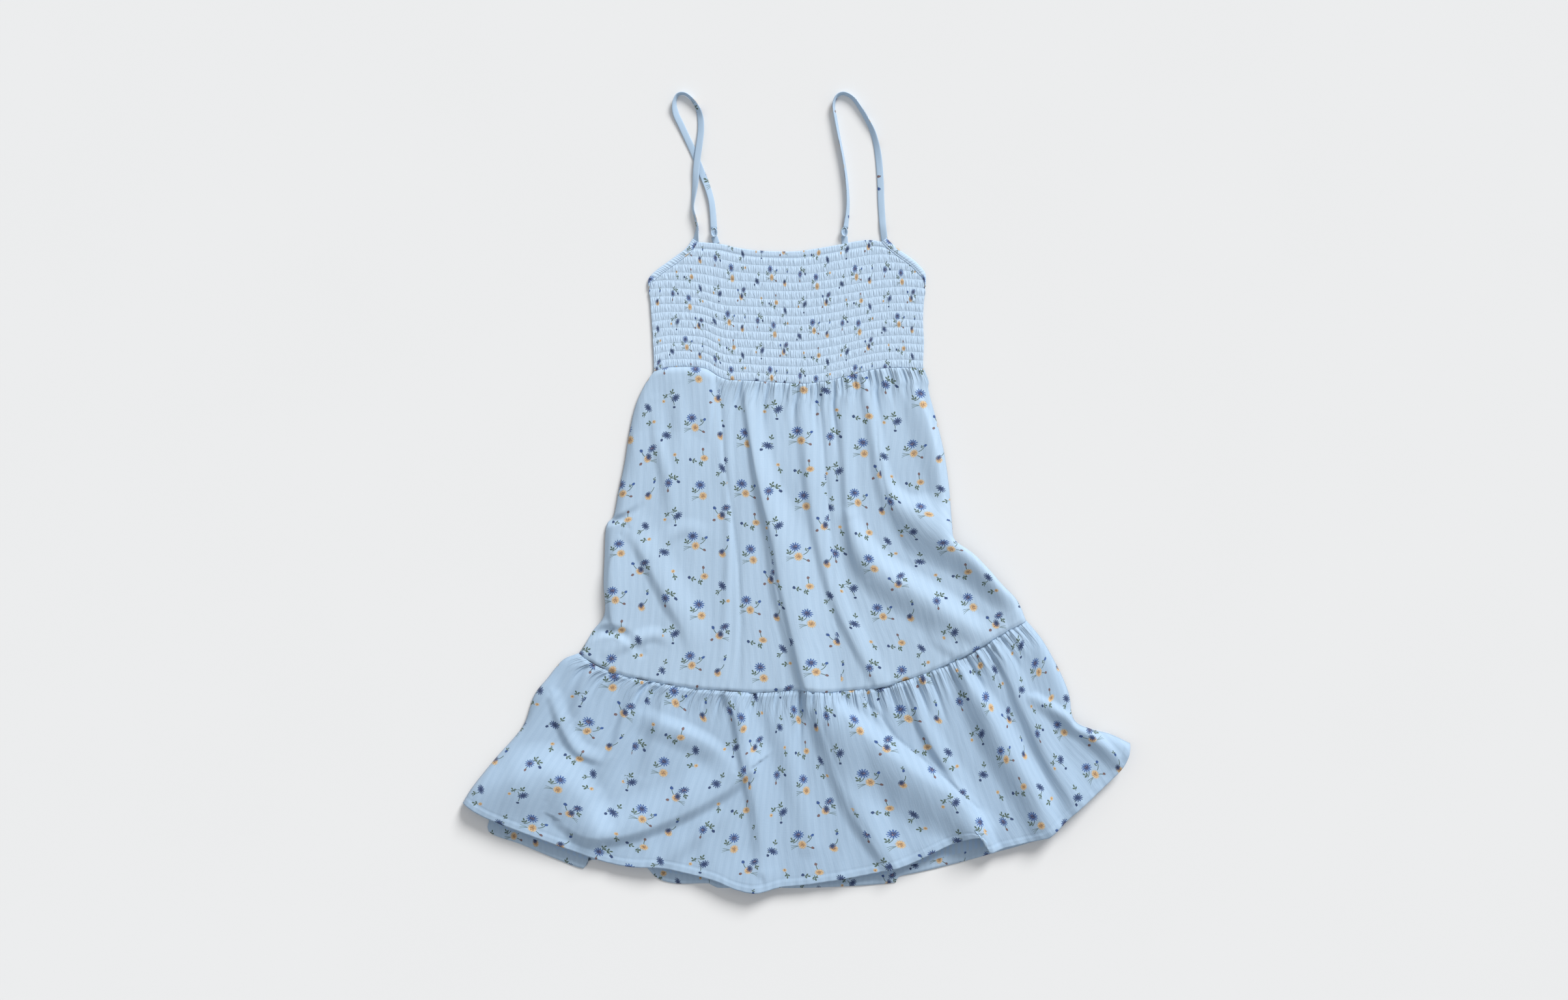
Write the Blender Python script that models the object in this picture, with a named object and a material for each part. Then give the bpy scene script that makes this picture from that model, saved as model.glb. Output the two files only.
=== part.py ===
"""A babydoll dress laid flat on a surface, its front up: shirred bodice, gathered skirt, gathered ruffle.

Tables hold millimetres and the meshes hold metres. +X is to the right of the dress as it is looked
down on, +Y runs from the hem to the straps, and +Z is up from the surface that it lies on. The origin
is on that surface, in the middle of the whole outline.
"""
import math

import bmesh
import bpy
import numpy as np

# Cloth and seams
WALL = 1.2
SEAM_GAP = 0.3
BACK_TOP = WALL
FRONT_UNDER = BACK_TOP + SEAM_GAP
FRONT_REST = FRONT_UNDER + WALL

# Outline of the front, left to right or top to bottom: x, y
NECKLINE = ((-106, 270), (-82, 266), (-64, 262), (-43, 259), (-21, 258), (-1, 258),
            (16, 260), (34, 263), (50, 266), (66, 269), (80, 270), (91, 271))
ARMHOLE_LEFT = ((-111.5, 271.5), (-118, 262), (-128, 254), (-139, 246), (-150, 238), (-158.5, 229),
                (-159, 219))
ARMHOLE_RIGHT = ((96.5, 272.5), (103, 266), (113, 258), (123, 251), (131, 244), (138.5, 234), (139, 220))
SIDE_LEFT = ((-158.5, 213), (-157, 206), (-156, 192), (-155, 178), (-154, 160), (-153, 138), (-153, 128))
SIDE_RIGHT = ((138.7, 214), (137, 204), (136, 182), (137, 160), (136, 138), (137, 131))
WAIST = ((-153, 128), (-141, 132), (-128, 133), (-113, 133), (-97, 131), (-84, 123), (-72, 119),
         (-49, 118), (-20, 116), (10, 115), (34, 118), (55, 123), (69, 127), (90, 131), (113, 132),
         (137, 131))
SKIRT_LEFT = ((-153, 128), (-162, 116), (-172, 94), (-179, 64), (-184, 32), (-190, 4), (-196, -26),
              (-204, -37), (-206, -73), (-207, -99), (-206, -131), (-218, -149), (-227, -164), (-234, -174))
SKIRT_RIGHT = ((137, 131), (142, 118), (142, 108), (151, 74), (159, 40), (164, 4), (167, -34), (170, -52),
               (189, -66), (206, -83), (220, -99), (237, -117), (247, -139))
TIER_SEAM = ((-234, -174), (-214, -187), (-188, -197), (-156, -204), (-114, -211), (-78, -214), (-36, -216),
             (9, -213), (33, -215), (57, -214), (94, -209), (126, -200), (160, -186), (192, -170),
             (219, -154), (247, -139))
RUFFLE_LEFT = ((-234, -174), (-251, -181), (-267, -200), (-281, -218), (-291, -247), (-303, -264),
               (-321, -284), (-346, -315), (-358, -334))
RUFFLE_RIGHT = ((247, -139), (263, -158), (276, -180), (286, -200), (293, -219), (298, -245), (317, -255),
                (336, -260), (358, -270))
HEM = ((-358, -334), (-337, -347), (-313, -357), (-277, -371), (-239, -385), (-204, -397), (-176, -402),
       (-147, -403), (-118, -409), (-87, -417), (-65, -426), (-43, -430), (-17, -424), (12, -421), (57, -414),
       (92, -407), (121, -399), (146, -387), (170, -376), (190, -370), (201, -373), (206, -387), (226, -381),
       (263, -372), (273, -368), (293, -349), (322, -323), (346, -300), (355, -285), (358, -270))
BACK_HEM = ((-350, -330), (-331, -347), (-330, -366), (-296, -379), (-260, -394), (-229, -405), (-222, -396),
            (-190, -398), (-164, -402), (-150, -415), (-130, -421), (-94, -421), (-88, -425), (-75, -426),
            (-40, -425), (-1, -426), (57, -424), (106, -420), (109, -414), (141, -407), (177, -398),
            (206, -390), (267, -371), (290, -348), (319, -322), (343, -299), (350, -283), (350, -273))

# Shirring of the bodice: a plain gathered casing at the neck, then rows of elastic thread
CASING_DEPTH = 7.5
ROWS = 15
ROW_PITCH = 9.1
ROW_RAISE = 1.8
CASING_RAISE = 1.4
BODICE_WALL = 1.5
PUCKERS = 25
PUCKER_SHARE = 0.45
SIDE_ROLL = 9.0

# Loft of the skirt: how high the front stands off the back, and how it rolls down at each edge
LOFT = 8.0
EDGE_ROLL = 24.0
WAIST_ROLL = 34.0
OVERHANG_TO = -84.0
OVERHANG_LOFT = 6.5
OVERHANG_ROLL = 9.0
SEAM_DIP = 1.6
SEAM_DIP_WIDTH = 6.0
FOLD_FADE = 0.25
FLANK_LEAST = 13.0

# Folds of the skirt and ruffle. Each runs from x, y to to_x, to_y and bows sideways; left and right are
# its flanks' widths, and height is its crest (a trough's is negative)
SKIRT_FOLDS = (
    # x, y, to_x, to_y, bow, left, right, height
    (-60, 108, 15, -238, 1, 9, 34, 10.0),
    (-66, 86, -12, -185, 0, 18, 10, -5.5),
    (-83, 122, -78, -156, 5, 14, 12, 3.4),
    (42, 98, 75, -120, 0, 10, 12, -4.5),
    (56, 110, 92, -135, 0, 11, 15, 4.6),
    (81, 108, 168, -160, -17, 12, 9, -5.5),
    (98, 110, 122, -5, 3, 14, 20, 5.5),
    (112, 8, 182, -62, 0, 16, 9, 10.0),
    (108, -26, 258, -128, 0, 17, 15, -8.0),
    (102, -60, 238, -150, 4, 16, 16, 4.2),
    (88, -45, 154, -165, 0, 15, 13, -5.0),
    (72, -95, 122, -196, 0, 16, 16, 4.0),
    (-157, -32, -126, -152, 3, 12, 14, -5.0),
    (-208, -38, -150, -4, 0, 20, 8, 7.0),
    (-212, -128, -170, -164, 0, 10, 14, -5.5),
    (-130, 96, -158, 36, 0, 10, 12, -3.6),
    (-8, 108, 12, -104, 0, 10, 10, 3.4),
    (22, 108, 50, -160, 0, 10, 9, 3.8),
)
RUFFLE_FOLDS = (
    # x, y, to_x, to_y, bow, left, right, height
    (-72, -210, -38, -378, 0, 8, 14, 7.5),
    (-80, -222, -54, -338, 0, 10, 8, -4.5),
    (-225, -382, -60, -306, -25, 15, 14, -6.0),
    (-247, -324, -70, -268, -18, 22, 22, 7.0),
    (-166, -276, -78, -288, -6, 12, 12, -4.6),
    (-320, -320, -246, -330, 0, 12, 12, -4.4),
    (-158, -202, -186, -300, 0, 9, 10, -5.5),
    (-214, -184, -246, -256, 0, 9, 9, -5.0),
    (-222, -190, -278, -318, 0, 16, 14, 4.4),
    (-186, -200, -218, -316, 0, 14, 14, 4.4),
    (12, -204, 104, -400, -13, 11, 10, -7.0),
    (2, -214, 74, -376, 0, 24, 9, 5.2),
    (48, -222, 146, -384, 0, 26, 24, 5.4),
    (66, -206, 210, -396, 7, 42, 9, 11.5),
    (112, -240, 212, -382, 6, 10, 11, -5.5),
    (150, -192, 218, -376, 4, 9, 9, -5.0),
    (172, -180, 236, -372, 4, 10, 10, 4.8),
    (204, -196, 264, -362, 4, 14, 14, -6.5),
    (230, -150, 300, -334, 4, 15, 16, 6.0),
    (256, -212, 346, -296, -4, 12, 11, -7.0),
    (292, -246, 356, -274, 0, 10, 10, 4.6),
)
HEM_LIFTS = (
    # x, y, reach, height
    (190, -368, 26, 11.0),
    (140, -390, 40, 3.0),
    (-296, -362, 70, 4.5),
    (-60, -424, 46, 4.0),
    (300, -340, 60, 4.0),
    (352, -274, 30, 3.0),
)

# Gathers that run down from a seam: share of the way along it, half width, height and length
WAIST_GATHERS = (
    # share, half_width, height, length
    (0.34, 5, 1.8, 40), (0.40, 5, 2.2, 64), (0.45, 4, 1.8, 48), (0.50, 5, 2.2, 70), (0.555, 5, 2.0, 56),
    (0.61, 4, 2.0, 44), (0.665, 5, 2.4, 80), (0.72, 5, 2.2, 60), (0.775, 5, 2.4, 74), (0.83, 5, 2.0, 56),
    (0.885, 5, 2.2, 70), (0.94, 4, 1.6, 40),
)
TIER_GATHERS = (
    # share, half_width, height, length
    (0.05, 6, 1.8, 60), (0.10, 5, 1.8, 46), (0.145, 6, 2.4, 70), (0.20, 5, 1.8, 44), (0.25, 6, 1.8, 52),
    (0.30, 5, 1.6, 40), (0.345, 6, 2.0, 50), (0.40, 5, 1.6, 40), (0.45, 6, 1.8, 56), (0.50, 5, 1.6, 40),
    (0.55, 6, 2.0, 60), (0.60, 5, 1.6, 44), (0.65, 6, 2.4, 76), (0.70, 5, 2.2, 66), (0.745, 6, 2.6, 84),
    (0.79, 5, 2.2, 80), (0.835, 6, 2.6, 96), (0.88, 5, 2.2, 90), (0.925, 6, 2.4, 84), (0.965, 5, 1.8, 60),
)

# Points across and down each panel
BODICE_COLUMNS = 2 * PUCKERS + 1
SKIRT_GRID = (53, 28)
RUFFLE_GRID = (61, 17)
BACK_GRID = (25, 9)
BINDING_GRID = (4, 26)
BACK_INSET = 2.0

BINDING_WIDTH = 6.0
BINDING_TAPER_FROM = 0.78
BINDING_TAPER_TO = 0.15
BINDING_GAP = 0.55
BINDING_RAISE = 1.2

# Straps: x, y, lift of the middle off the surface, and turn of the flat tube about its own length
STRAP_WIDTH = 7.6
STRAP_THICK = 2.0
STRAP_STEPS = 2
STRAP_LEFT = (
    # x, y, lift, turn
    (-107.5, 272.4, 3.0, 20), (-106.5, 284, 3.2, 30), (-108.5, 294, 3.6, 60), (-111, 304, 3.9, 75),
    (-110.5, 314, 3.7, 60), (-108.5, 330, 3.4, 15), (-107.5, 345, 3.7, 5), (-106, 360, 3.7, 5),
    (-104, 374, 3.4, 10), (-102.5, 388, 2.4, 15), (-103, 401, 1.9, 20), (-106, 412, 2.9, 40),
    (-112, 421, 3.6, 55), (-120, 427, 3.8, 65), (-127.5, 426, 3.6, 60), (-131, 417, 2.8, 40),
    (-129.5, 406, 1.9, 20), (-124, 394, 1.4, 10), (-118, 381, 1.2, 5), (-112, 368, 1.1, 0),
    (-106.5, 355, 1.1, 0), (-101, 341, 1.2, 5), (-95.5, 327, 1.6, 20), (-91.5, 313, 1.9, 25),
    (-89.7, 299, 1.8, 20), (-88.6, 284.3, 2.6, 5),
)
STRAP_RIGHT = (
    # x, y, lift, turn
    (94.4, 272.8, 3.0, 10), (93, 284, 2.6, 5), (92, 296, 1.4, 0), (91, 313, 1.1, 0), (90.5, 330, 1.1, 0),
    (89.5, 346, 1.2, 5), (88, 361, 1.5, 15), (85.5, 375, 2.0, 30), (81.5, 388, 2.6, 42), (76, 399, 2.9, 48),
    (69, 411, 3.2, 52), (60.5, 422.5, 3.5, 56), (51, 427.5, 3.6, 58), (43.5, 424.5, 3.6, 58),
    (40, 414.5, 3.2, 52), (42, 402, 2.8, 44), (44.5, 388, 2.6, 40), (47.5, 373, 2.4, 36),
    (50.5, 358, 2.2, 34), (53, 342, 2.2, 30), (54.8, 326, 2.2, 28), (55.5, 311, 2.2, 28),
    (54.8, 298, 2.0, 24), (52.8, 285.0, 2.6, 6),
)
KNOT_SIZE = (8.5, 11.0, 7.0)
KNOT_FOOT = 0.4
KNOTS = (
    # side, x, y, tab_x, tab_y
    ("left", -88.2, 278.6, -85.6, 266.4),
    ("right", 51.6, 279.2, 52.3, 265.4),
)
TAB_WIDTH = 7.6
TAB_THICK = 1.2

MATERIALS = {
    # name: base colour, roughness
    "dress_print": ((0.45, 0.63, 0.82), 0.85),
    "shirring_print": ((0.43, 0.61, 0.80), 0.88),
    "binding_print": ((0.47, 0.65, 0.84), 0.85),
    "cloth_inside": ((0.50, 0.66, 0.83), 0.9),
}
METRES = 0.001


def smooth_line(points, steps=16):
    """The points of a table joined by one smooth curve, closely spaced."""
    given = np.array(points, float)
    ends = np.vstack([2 * given[0] - given[1], given, 2 * given[-1] - given[-2]])
    t = np.linspace(0, 1, steps, endpoint=False)[:, None]
    runs = []
    for a, b, c, d in zip(ends, ends[1:], ends[2:], ends[3:]):
        cubic = (3 * b - a - 3 * c + d) * t**3
        square = (2 * a - 5 * b + 4 * c - d) * t**2
        runs.append((2 * b + (c - a) * t + square + cubic) / 2)
    return np.vstack(runs + [ends[-2:-1]])


def along(line, share):
    """Points at shares of a line's length."""
    run = np.concatenate([[0], np.cumsum(np.linalg.norm(np.diff(line, axis=0), axis=1))])
    at = np.asarray(share) * run[-1]
    return np.stack([np.interp(at, run, line[:, k]) for k in range(line.shape[1])], axis=-1)


def down(line, share):
    """Points at shares of the way down a line that falls from its first point to its last."""
    fall = (line[0, 1] - line[:, 1]) / (line[0, 1] - line[-1, 1])
    return np.stack([np.interp(share, fall, line[:, k]) for k in range(2)], axis=-1)


def offset(line, distance):
    """A line moved to its own left, by one distance or by one for each point."""
    way = np.gradient(line, axis=0)
    way /= np.linalg.norm(way, axis=1)[:, None]
    return line + np.reshape(distance, (-1, 1)) * np.stack([-way[:, 1], way[:, 0]], axis=1)


def panel(top, bottom, left, right, downs):
    """Plan of a panel from points along its four edges; downs are its rows' shares of the way down."""
    u = np.linspace(0, 1, len(top))[None, :, None]
    v = downs[:, None, None]
    between = (1 - v) * top[None] + v * bottom[None] + (1 - u) * left[:, None] + u * right[:, None]
    upper = (1 - u) * top[0] + u * top[-1]
    lower = (1 - u) * bottom[0] + u * bottom[-1]
    return between - (1 - v) * upper - v * lower


def bump(distance):
    """1 at the middle of a fold, falling smoothly to 0 at a distance of 1."""
    return (1 + np.cos(np.pi * np.clip(np.abs(distance), 0, 1))) / 2


def rise(distance, width):
    """A round edge: 0 at the edge, 1 from one width inside it."""
    inside = np.clip(distance / width, 0, 1)
    return np.sqrt(1 - (1 - inside) ** 2)


def ease(value):
    """A smooth step from 0 to 1."""
    t = np.clip(value, 0, 1)
    return t * t * (3 - 2 * t)


def fold_relief(plan, folds):
    """Height that a table of folds gives to each point of a plan."""
    height = np.zeros(plan.shape[:2])
    for x, y, to_x, to_y, bow, left, right, crest in folds:
        start = np.array((x, y), float)
        run = np.array((to_x, to_y), float) - start
        length = np.linalg.norm(run)
        way = run / length
        side = np.array((-way[1], way[0]))
        share = (plan - start) @ way / length
        aside = (plan - start) @ side - 4 * bow * share * (1 - share)
        width = np.maximum(np.where(aside > 0, right, left), FLANK_LEAST)
        height += crest * bump(aside / width) * ease(share / FOLD_FADE) * ease((1 - share) / FOLD_FADE)
    return height


def gather_relief(plan, gathers):
    """Height of short folds that hang from a panel's top edge."""
    shares = np.linspace(0, 1, plan.shape[1])[None, :]
    width = np.linalg.norm(plan[:, -1] - plan[:, 0], axis=1)[:, None]
    drop = np.linalg.norm(plan - plan[:1], axis=2)
    height = np.zeros(plan.shape[:2])
    for share, half_width, crest, length in gathers:
        spread = half_width * (1 + drop / length)
        height += crest * bump((shares - share) * width / spread) * ease(1.1 - drop / length)
    return height


def side_distance(plan):
    """How far each point of a plan lies from the nearer side edge."""
    to_left = np.linalg.norm(plan - plan[:, :1], axis=2)
    to_right = np.linalg.norm(plan - plan[:, -1:], axis=2)
    return np.minimum(to_left, to_right)


def settle(height):
    """Heights pressed smoothly against the layer underneath, so that none goes through it."""
    return (height + np.sqrt(height**2 + 1)) / 2


def skirt_surface(plan, gathers, down_to_seam, is_ruffle):
    """Outer points of a front skirt tier over its plan."""
    folds = fold_relief(plan, SKIRT_FOLDS + RUFFLE_FOLDS)
    height = LOFT * rise(side_distance(plan), EDGE_ROLL)
    if not is_ruffle:
        below_waist = np.linalg.norm(plan - plan[:1], axis=2)
        flat_waist = ease(below_waist / WAIST_ROLL)
        rolled = OVERHANG_LOFT / LOFT * rise(below_waist, OVERHANG_ROLL)
        over_bodice = ease((OVERHANG_TO - plan[..., 0]) / OVERHANG_ROLL)
        held = np.maximum(flat_waist, rolled * over_bodice)
        height *= held
        folds *= np.maximum(flat_waist, over_bodice)
    height += folds + gather_relief(plan, gathers)
    for x, y, reach, lift in HEM_LIFTS:
        height += lift * bump(np.linalg.norm(plan - (x, y), axis=2) / reach)
    height -= SEAM_DIP * bump(down_to_seam / SEAM_DIP_WIDTH)
    height *= rise(side_distance(plan) + 1, EDGE_ROLL / 2)
    return at_height(plan, FRONT_REST + settle(height))


def shirring_depths():
    """Depths below the neckline of the stitch lines and of the crests between them."""
    rows = [CASING_DEPTH + ROW_PITCH * half / 2 for half in range(2 * ROWS + 1)]
    return np.array([0, CASING_DEPTH / 2] + rows)


def bodice_relief(depths):
    """Raised height of the casing, the shirred rows and their puckers."""
    row = (depths[:, None] - CASING_DEPTH) / ROW_PITCH
    rows = ROW_RAISE * np.abs(np.sin(np.pi * row))
    casing = CASING_RAISE * np.sin(np.pi * np.clip(depths[:, None] / CASING_DEPTH, 0.12, 1))
    columns = np.arange(BODICE_COLUMNS)[None, :]
    pucker = np.cos(np.pi * (columns + np.floor(row)))
    return np.where(row < 0, casing, rows) * (1 - PUCKER_SHARE * (1 - pucker) / 2)


def new_material(name):
    colour, roughness = MATERIALS[name]
    material = bpy.data.materials.new(name)
    material.use_nodes = True
    shader = material.node_tree.nodes["Principled BSDF"]
    shader.inputs["Base Color"].default_value = (*colour, 1)
    shader.inputs["Roughness"].default_value = roughness
    shader.inputs["Metallic"].default_value = 0
    return material


def add_object(name, data, material, group):
    piece = bpy.data.objects.new(name, data)
    data.materials.append(material)
    group.objects.link(piece)
    return piece


def wall(name, outer, inner, material, group, plain_outer=False, plain_inner=False):
    """A closed wall of cloth between outer and inner points, in rows from the top and columns across."""
    rows, columns = outer.shape[:2]
    mesh = bmesh.new()
    spot = mesh.verts.layers.int.new("spot")
    bmesh.ops.create_grid(mesh, x_segments=columns - 1, y_segments=rows - 1, size=1)
    for index, point in enumerate(mesh.verts):
        point[spot] = index
    copied = bmesh.ops.extrude_face_region(mesh, geom=list(mesh.faces))["geom"]
    upper = [item for item in copied if isinstance(item, bmesh.types.BMVert)]
    upper_faces = [item for item in copied if isinstance(item, bmesh.types.BMFace)]
    lower = [point for point in mesh.verts if point not in set(upper)]
    for points, places in ((upper, outer), (lower, inner)):
        flat = places[::-1].reshape(-1, 3) * METRES
        for point in points:
            point.co = flat[point[spot]]
    lower_faces = [face for face in mesh.faces if all(p in set(lower) for p in face.verts)]
    bmesh.ops.recalc_face_normals(mesh, faces=list(mesh.faces))
    for faces, is_plain in ((upper_faces, plain_outer), (lower_faces, plain_inner)):
        if is_plain:
            join_flat(mesh, faces)
    bmesh.ops.triangulate(mesh, faces=list(mesh.faces))
    data = bpy.data.meshes.new(name)
    mesh.to_mesh(data)
    mesh.free()
    data.shade_smooth()
    data.set_sharp_from_angle(angle=math.radians(50))
    return add_object(name, data, material, group)


def join_flat(mesh, faces):
    """Turns a flat side of a wall into one face."""
    inside = {edge for face in faces for edge in face.edges}
    shared = [edge for edge in inside if all(face in faces for face in edge.link_faces)]
    bmesh.ops.dissolve_edges(mesh, edges=shared, use_verts=True)


def at_height(plan, z):
    """Points over a plan, all at one height or each at its own."""
    return np.concatenate([plan, np.broadcast_to(z, plan.shape[:2])[..., None]], axis=2)


def inside_armhole(armhole, turn, share_of_width, gap):
    """A line inside an armhole's edge, at a share of the binding's width, which narrows at the side seam."""
    line = smooth_line(armhole)
    taper = ease((np.linspace(0, 1, len(line)) - BINDING_TAPER_FROM) / (1 - BINDING_TAPER_FROM))
    width = BINDING_WIDTH * (1 - (1 - BINDING_TAPER_TO) * taper)
    return offset(line, turn * (width * share_of_width + gap))


def bodice_edge(armhole, side, turn):
    """Side edge of the bodice: inside the bound armhole, then down the side seam."""
    inside = inside_armhole(armhole, turn, 1, BINDING_GAP)
    return np.vstack([inside, smooth_line(side)])


def bodice_plan(columns, downs, inset):
    """Plan of a bodice panel, set in from the front's outline; downs are its rows' shares of the way."""
    left = bodice_edge(ARMHOLE_LEFT, SIDE_LEFT, 1)
    right = bodice_edge(ARMHOLE_RIGHT, SIDE_RIGHT, -1)
    top = smooth_line((tuple(left[0]),) + NECKLINE[1:-1] + (tuple(right[0]),))
    bottom = smooth_line(WAIST) + (0, SEAM_GAP)
    left[-1] = bottom[0]
    right[-1] = bottom[-1]
    u = np.linspace(0, 1, columns)
    plan = panel(along(top, u), along(bottom, u), down(left, downs), down(right, downs), downs)
    middle = plan.mean(axis=(0, 1))
    extent = np.abs(plan - middle).max(axis=(0, 1))
    return middle + (plan - middle) * (1 - inset / extent)


def build_bodice(group, front_material, back_material):
    depths = shirring_depths()
    plan = bodice_plan(BODICE_COLUMNS, depths / depths[-1], 0)
    edge = rise(side_distance(plan) + 1, SIDE_ROLL)
    top = FRONT_UNDER + BODICE_WALL * (0.6 + 0.4 * edge) + bodice_relief(depths) * edge
    wall("bodice_front", at_height(plan, top), at_height(plan, FRONT_UNDER), front_material, group,
         plain_inner=True)
    plan = bodice_plan(BACK_GRID[0], np.linspace(0, 1, BACK_GRID[1]), BACK_INSET)
    wall("bodice_back", at_height(plan, BACK_TOP), at_height(plan, 0), back_material, group,
         plain_outer=True, plain_inner=True)


def build_binding(name, armhole, turn, material, group):
    """The bound edge of one armhole, a low rounded strip."""
    columns, rows = BINDING_GRID
    shares = np.linspace(0, 1, rows)
    plan = np.stack([along(inside_armhole(armhole, turn, share, 0), shares)
                     for share in np.linspace(0, 1, columns)], axis=1)
    crown = np.sin(np.pi * np.linspace(0.08, 0.92, columns))[None, :]
    top = FRONT_UNDER + WALL + BINDING_RAISE * crown
    if turn < 0:
        plan = plan[:, ::-1]
    wall(name, at_height(plan, top), at_height(plan, FRONT_UNDER), material, group, plain_inner=True)


def tier_plan(top, bottom, left, right, grid):
    """Plan of one tier of the skirt, between lines that are given as tables."""
    columns, rows = grid
    u, v = np.linspace(0, 1, columns), np.linspace(0, 1, rows)
    edges = [smooth_line(line) for line in (top, bottom, left, right)]
    return panel(along(edges[0], u), along(edges[1], u), along(edges[2], v), along(edges[3], v), v)


def moved(points, dy):
    return tuple((x, y + dy) for x, y in points)


def joined(line, first, last):
    """A line with its two ends moved to given points."""
    return (first,) + tuple(line[1:-1]) + (last,)


def build_front_tier(name, top, bottom, left, right, grid, gathers, seam_below, material, group):
    """A front tier whose outer points carry the folds, over an inner surface that follows them."""
    is_ruffle = not seam_below
    plan = tier_plan(top, bottom, joined(left, top[0], bottom[0]), joined(right, top[-1], bottom[-1]), grid)
    seam = plan[-1:] if seam_below else plan[:1]
    down_to_seam = np.linalg.norm(plan - seam, axis=2)
    outer = skirt_surface(plan, gathers, down_to_seam, is_ruffle)
    wall(name, outer, outer - (0, 0, WALL), material, group)


def inset_lines(line, distance):
    """A side line moved in towards the middle of the dress."""
    return tuple((x - math.copysign(distance, x), y) for x, y in line)


def build_back_tier(name, top, bottom, left, right, material, group):
    left, right = inset_lines(left, BACK_INSET), inset_lines(right, BACK_INSET)
    top = joined(top, (left[0][0], top[0][1]), (right[0][0], top[-1][1]))
    bottom = joined(bottom, (left[-1][0], bottom[0][1]), (right[-1][0], bottom[-1][1]))
    grid = (2 * BACK_GRID[0], BACK_GRID[1])
    plan = tier_plan(top, bottom, joined(left, top[0], bottom[0]), joined(right, top[-1], bottom[-1]), grid)
    wall(name, at_height(plan, BACK_TOP), at_height(plan, 0), material, group,
         plain_outer=True, plain_inner=True)


def build_skirt(group, front_material, back_material):
    half_gap = SEAM_GAP / 2
    above_seam = moved(TIER_SEAM, half_gap)
    below_seam = moved(TIER_SEAM, -half_gap)
    build_front_tier("skirt_front", WAIST, above_seam, SKIRT_LEFT, SKIRT_RIGHT, SKIRT_GRID,
                     WAIST_GATHERS, True, front_material, group)
    build_front_tier("ruffle_front", below_seam, HEM, RUFFLE_LEFT, RUFFLE_RIGHT, RUFFLE_GRID,
                     TIER_GATHERS, False, front_material, group)
    build_back_tier("skirt_back", moved(WAIST, -SEAM_GAP), above_seam, SKIRT_LEFT, SKIRT_RIGHT,
                    back_material, group)
    build_back_tier("ruffle_back", below_seam, BACK_HEM, RUFFLE_LEFT, RUFFLE_RIGHT, back_material, group)


def flat_tube(name, points, width, thick, material, group):
    """A flat tube of cloth along a route of (x, y, lift, turn) rows, closed at its ends."""
    curve = bpy.data.curves.new(name, "CURVE")
    curve.dimensions = "3D"
    curve.twist_mode = "Z_UP"
    curve.bevel_depth = thick / 2 * METRES
    curve.bevel_resolution = 1
    curve.extrude = (width - thick) / 2 * METRES
    curve.use_fill_caps = True
    spline = curve.splines.new("POLY")
    spline.points.add(len(points) - 1)
    for point, (x, y, lift, turn) in zip(spline.points, points):
        point.co = (x * METRES, y * METRES, lift * METRES, 1)
        point.tilt = math.radians(90 - turn)
    return add_object(name, curve, material, group)


def strap_lift(row):
    """A strap's row, lifted so that the turned tube lies on the surface and not in it."""
    x, y, lift, turn = row
    half = STRAP_THICK / 2 + (STRAP_WIDTH - STRAP_THICK) / 2 * math.sin(math.radians(turn))
    return x, y, max(lift, half + 0.1), turn


def build_straps(group, material):
    for name, rows in (("strap_left", STRAP_LEFT), ("strap_right", STRAP_RIGHT)):
        route = smooth_line([strap_lift(row) for row in rows], STRAP_STEPS)
        flat_tube(name, route, STRAP_WIDTH, STRAP_THICK, material, group)
    for side, x, y, tab_x, tab_y in KNOTS:
        build_knot(f"strap_knot_{side}", x, y, material, group)
        start_y = y - KNOT_SIZE[1] * KNOT_FOOT - SEAM_GAP
        tab = ((x, start_y, TAB_THICK / 2, 0), ((x + tab_x) / 2, (start_y + tab_y) / 2, TAB_THICK / 2, 0),
               (tab_x, tab_y, TAB_THICK / 2, 0))
        flat_tube(f"strap_tab_{side}", tab, TAB_WIDTH, TAB_THICK, material, group)


def build_knot(name, x, y, material, group):
    """The knot of a strap round its stub: a flattened ball."""
    mesh = bmesh.new()
    bmesh.ops.create_uvsphere(mesh, u_segments=14, v_segments=9, radius=0.5)
    for point in mesh.verts:
        point.co = [coordinate * size * METRES for coordinate, size in zip(point.co, KNOT_SIZE)]
        point.co.x += x * METRES
        point.co.y += y * METRES
        point.co.z += KNOT_SIZE[2] / 2 * METRES
    data = bpy.data.meshes.new(name)
    mesh.to_mesh(data)
    mesh.free()
    data.shade_smooth()
    return add_object(name, data, material, group)


for old in list(bpy.data.objects):
    bpy.data.objects.remove(old)
dress = bpy.data.collections.new("babydoll_dress")
bpy.context.scene.collection.children.link(dress)
finishes = {name: new_material(name) for name in MATERIALS}
build_bodice(dress, finishes["shirring_print"], finishes["shirring_print"])
build_binding("binding_left", ARMHOLE_LEFT, 1, finishes["binding_print"], dress)
build_binding("binding_right", ARMHOLE_RIGHT, -1, finishes["binding_print"], dress)
build_skirt(dress, finishes["dress_print"], finishes["cloth_inside"])
build_straps(dress, finishes["binding_print"])
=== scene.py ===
"""A babydoll dress laid flat on a pale surface, its front up: printed cotton with a woven stripe, a shirred
bodice, a gathered skirt, a gathered ruffle and tied spaghetti straps. Tables hold millimetres.
"""
import math

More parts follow.
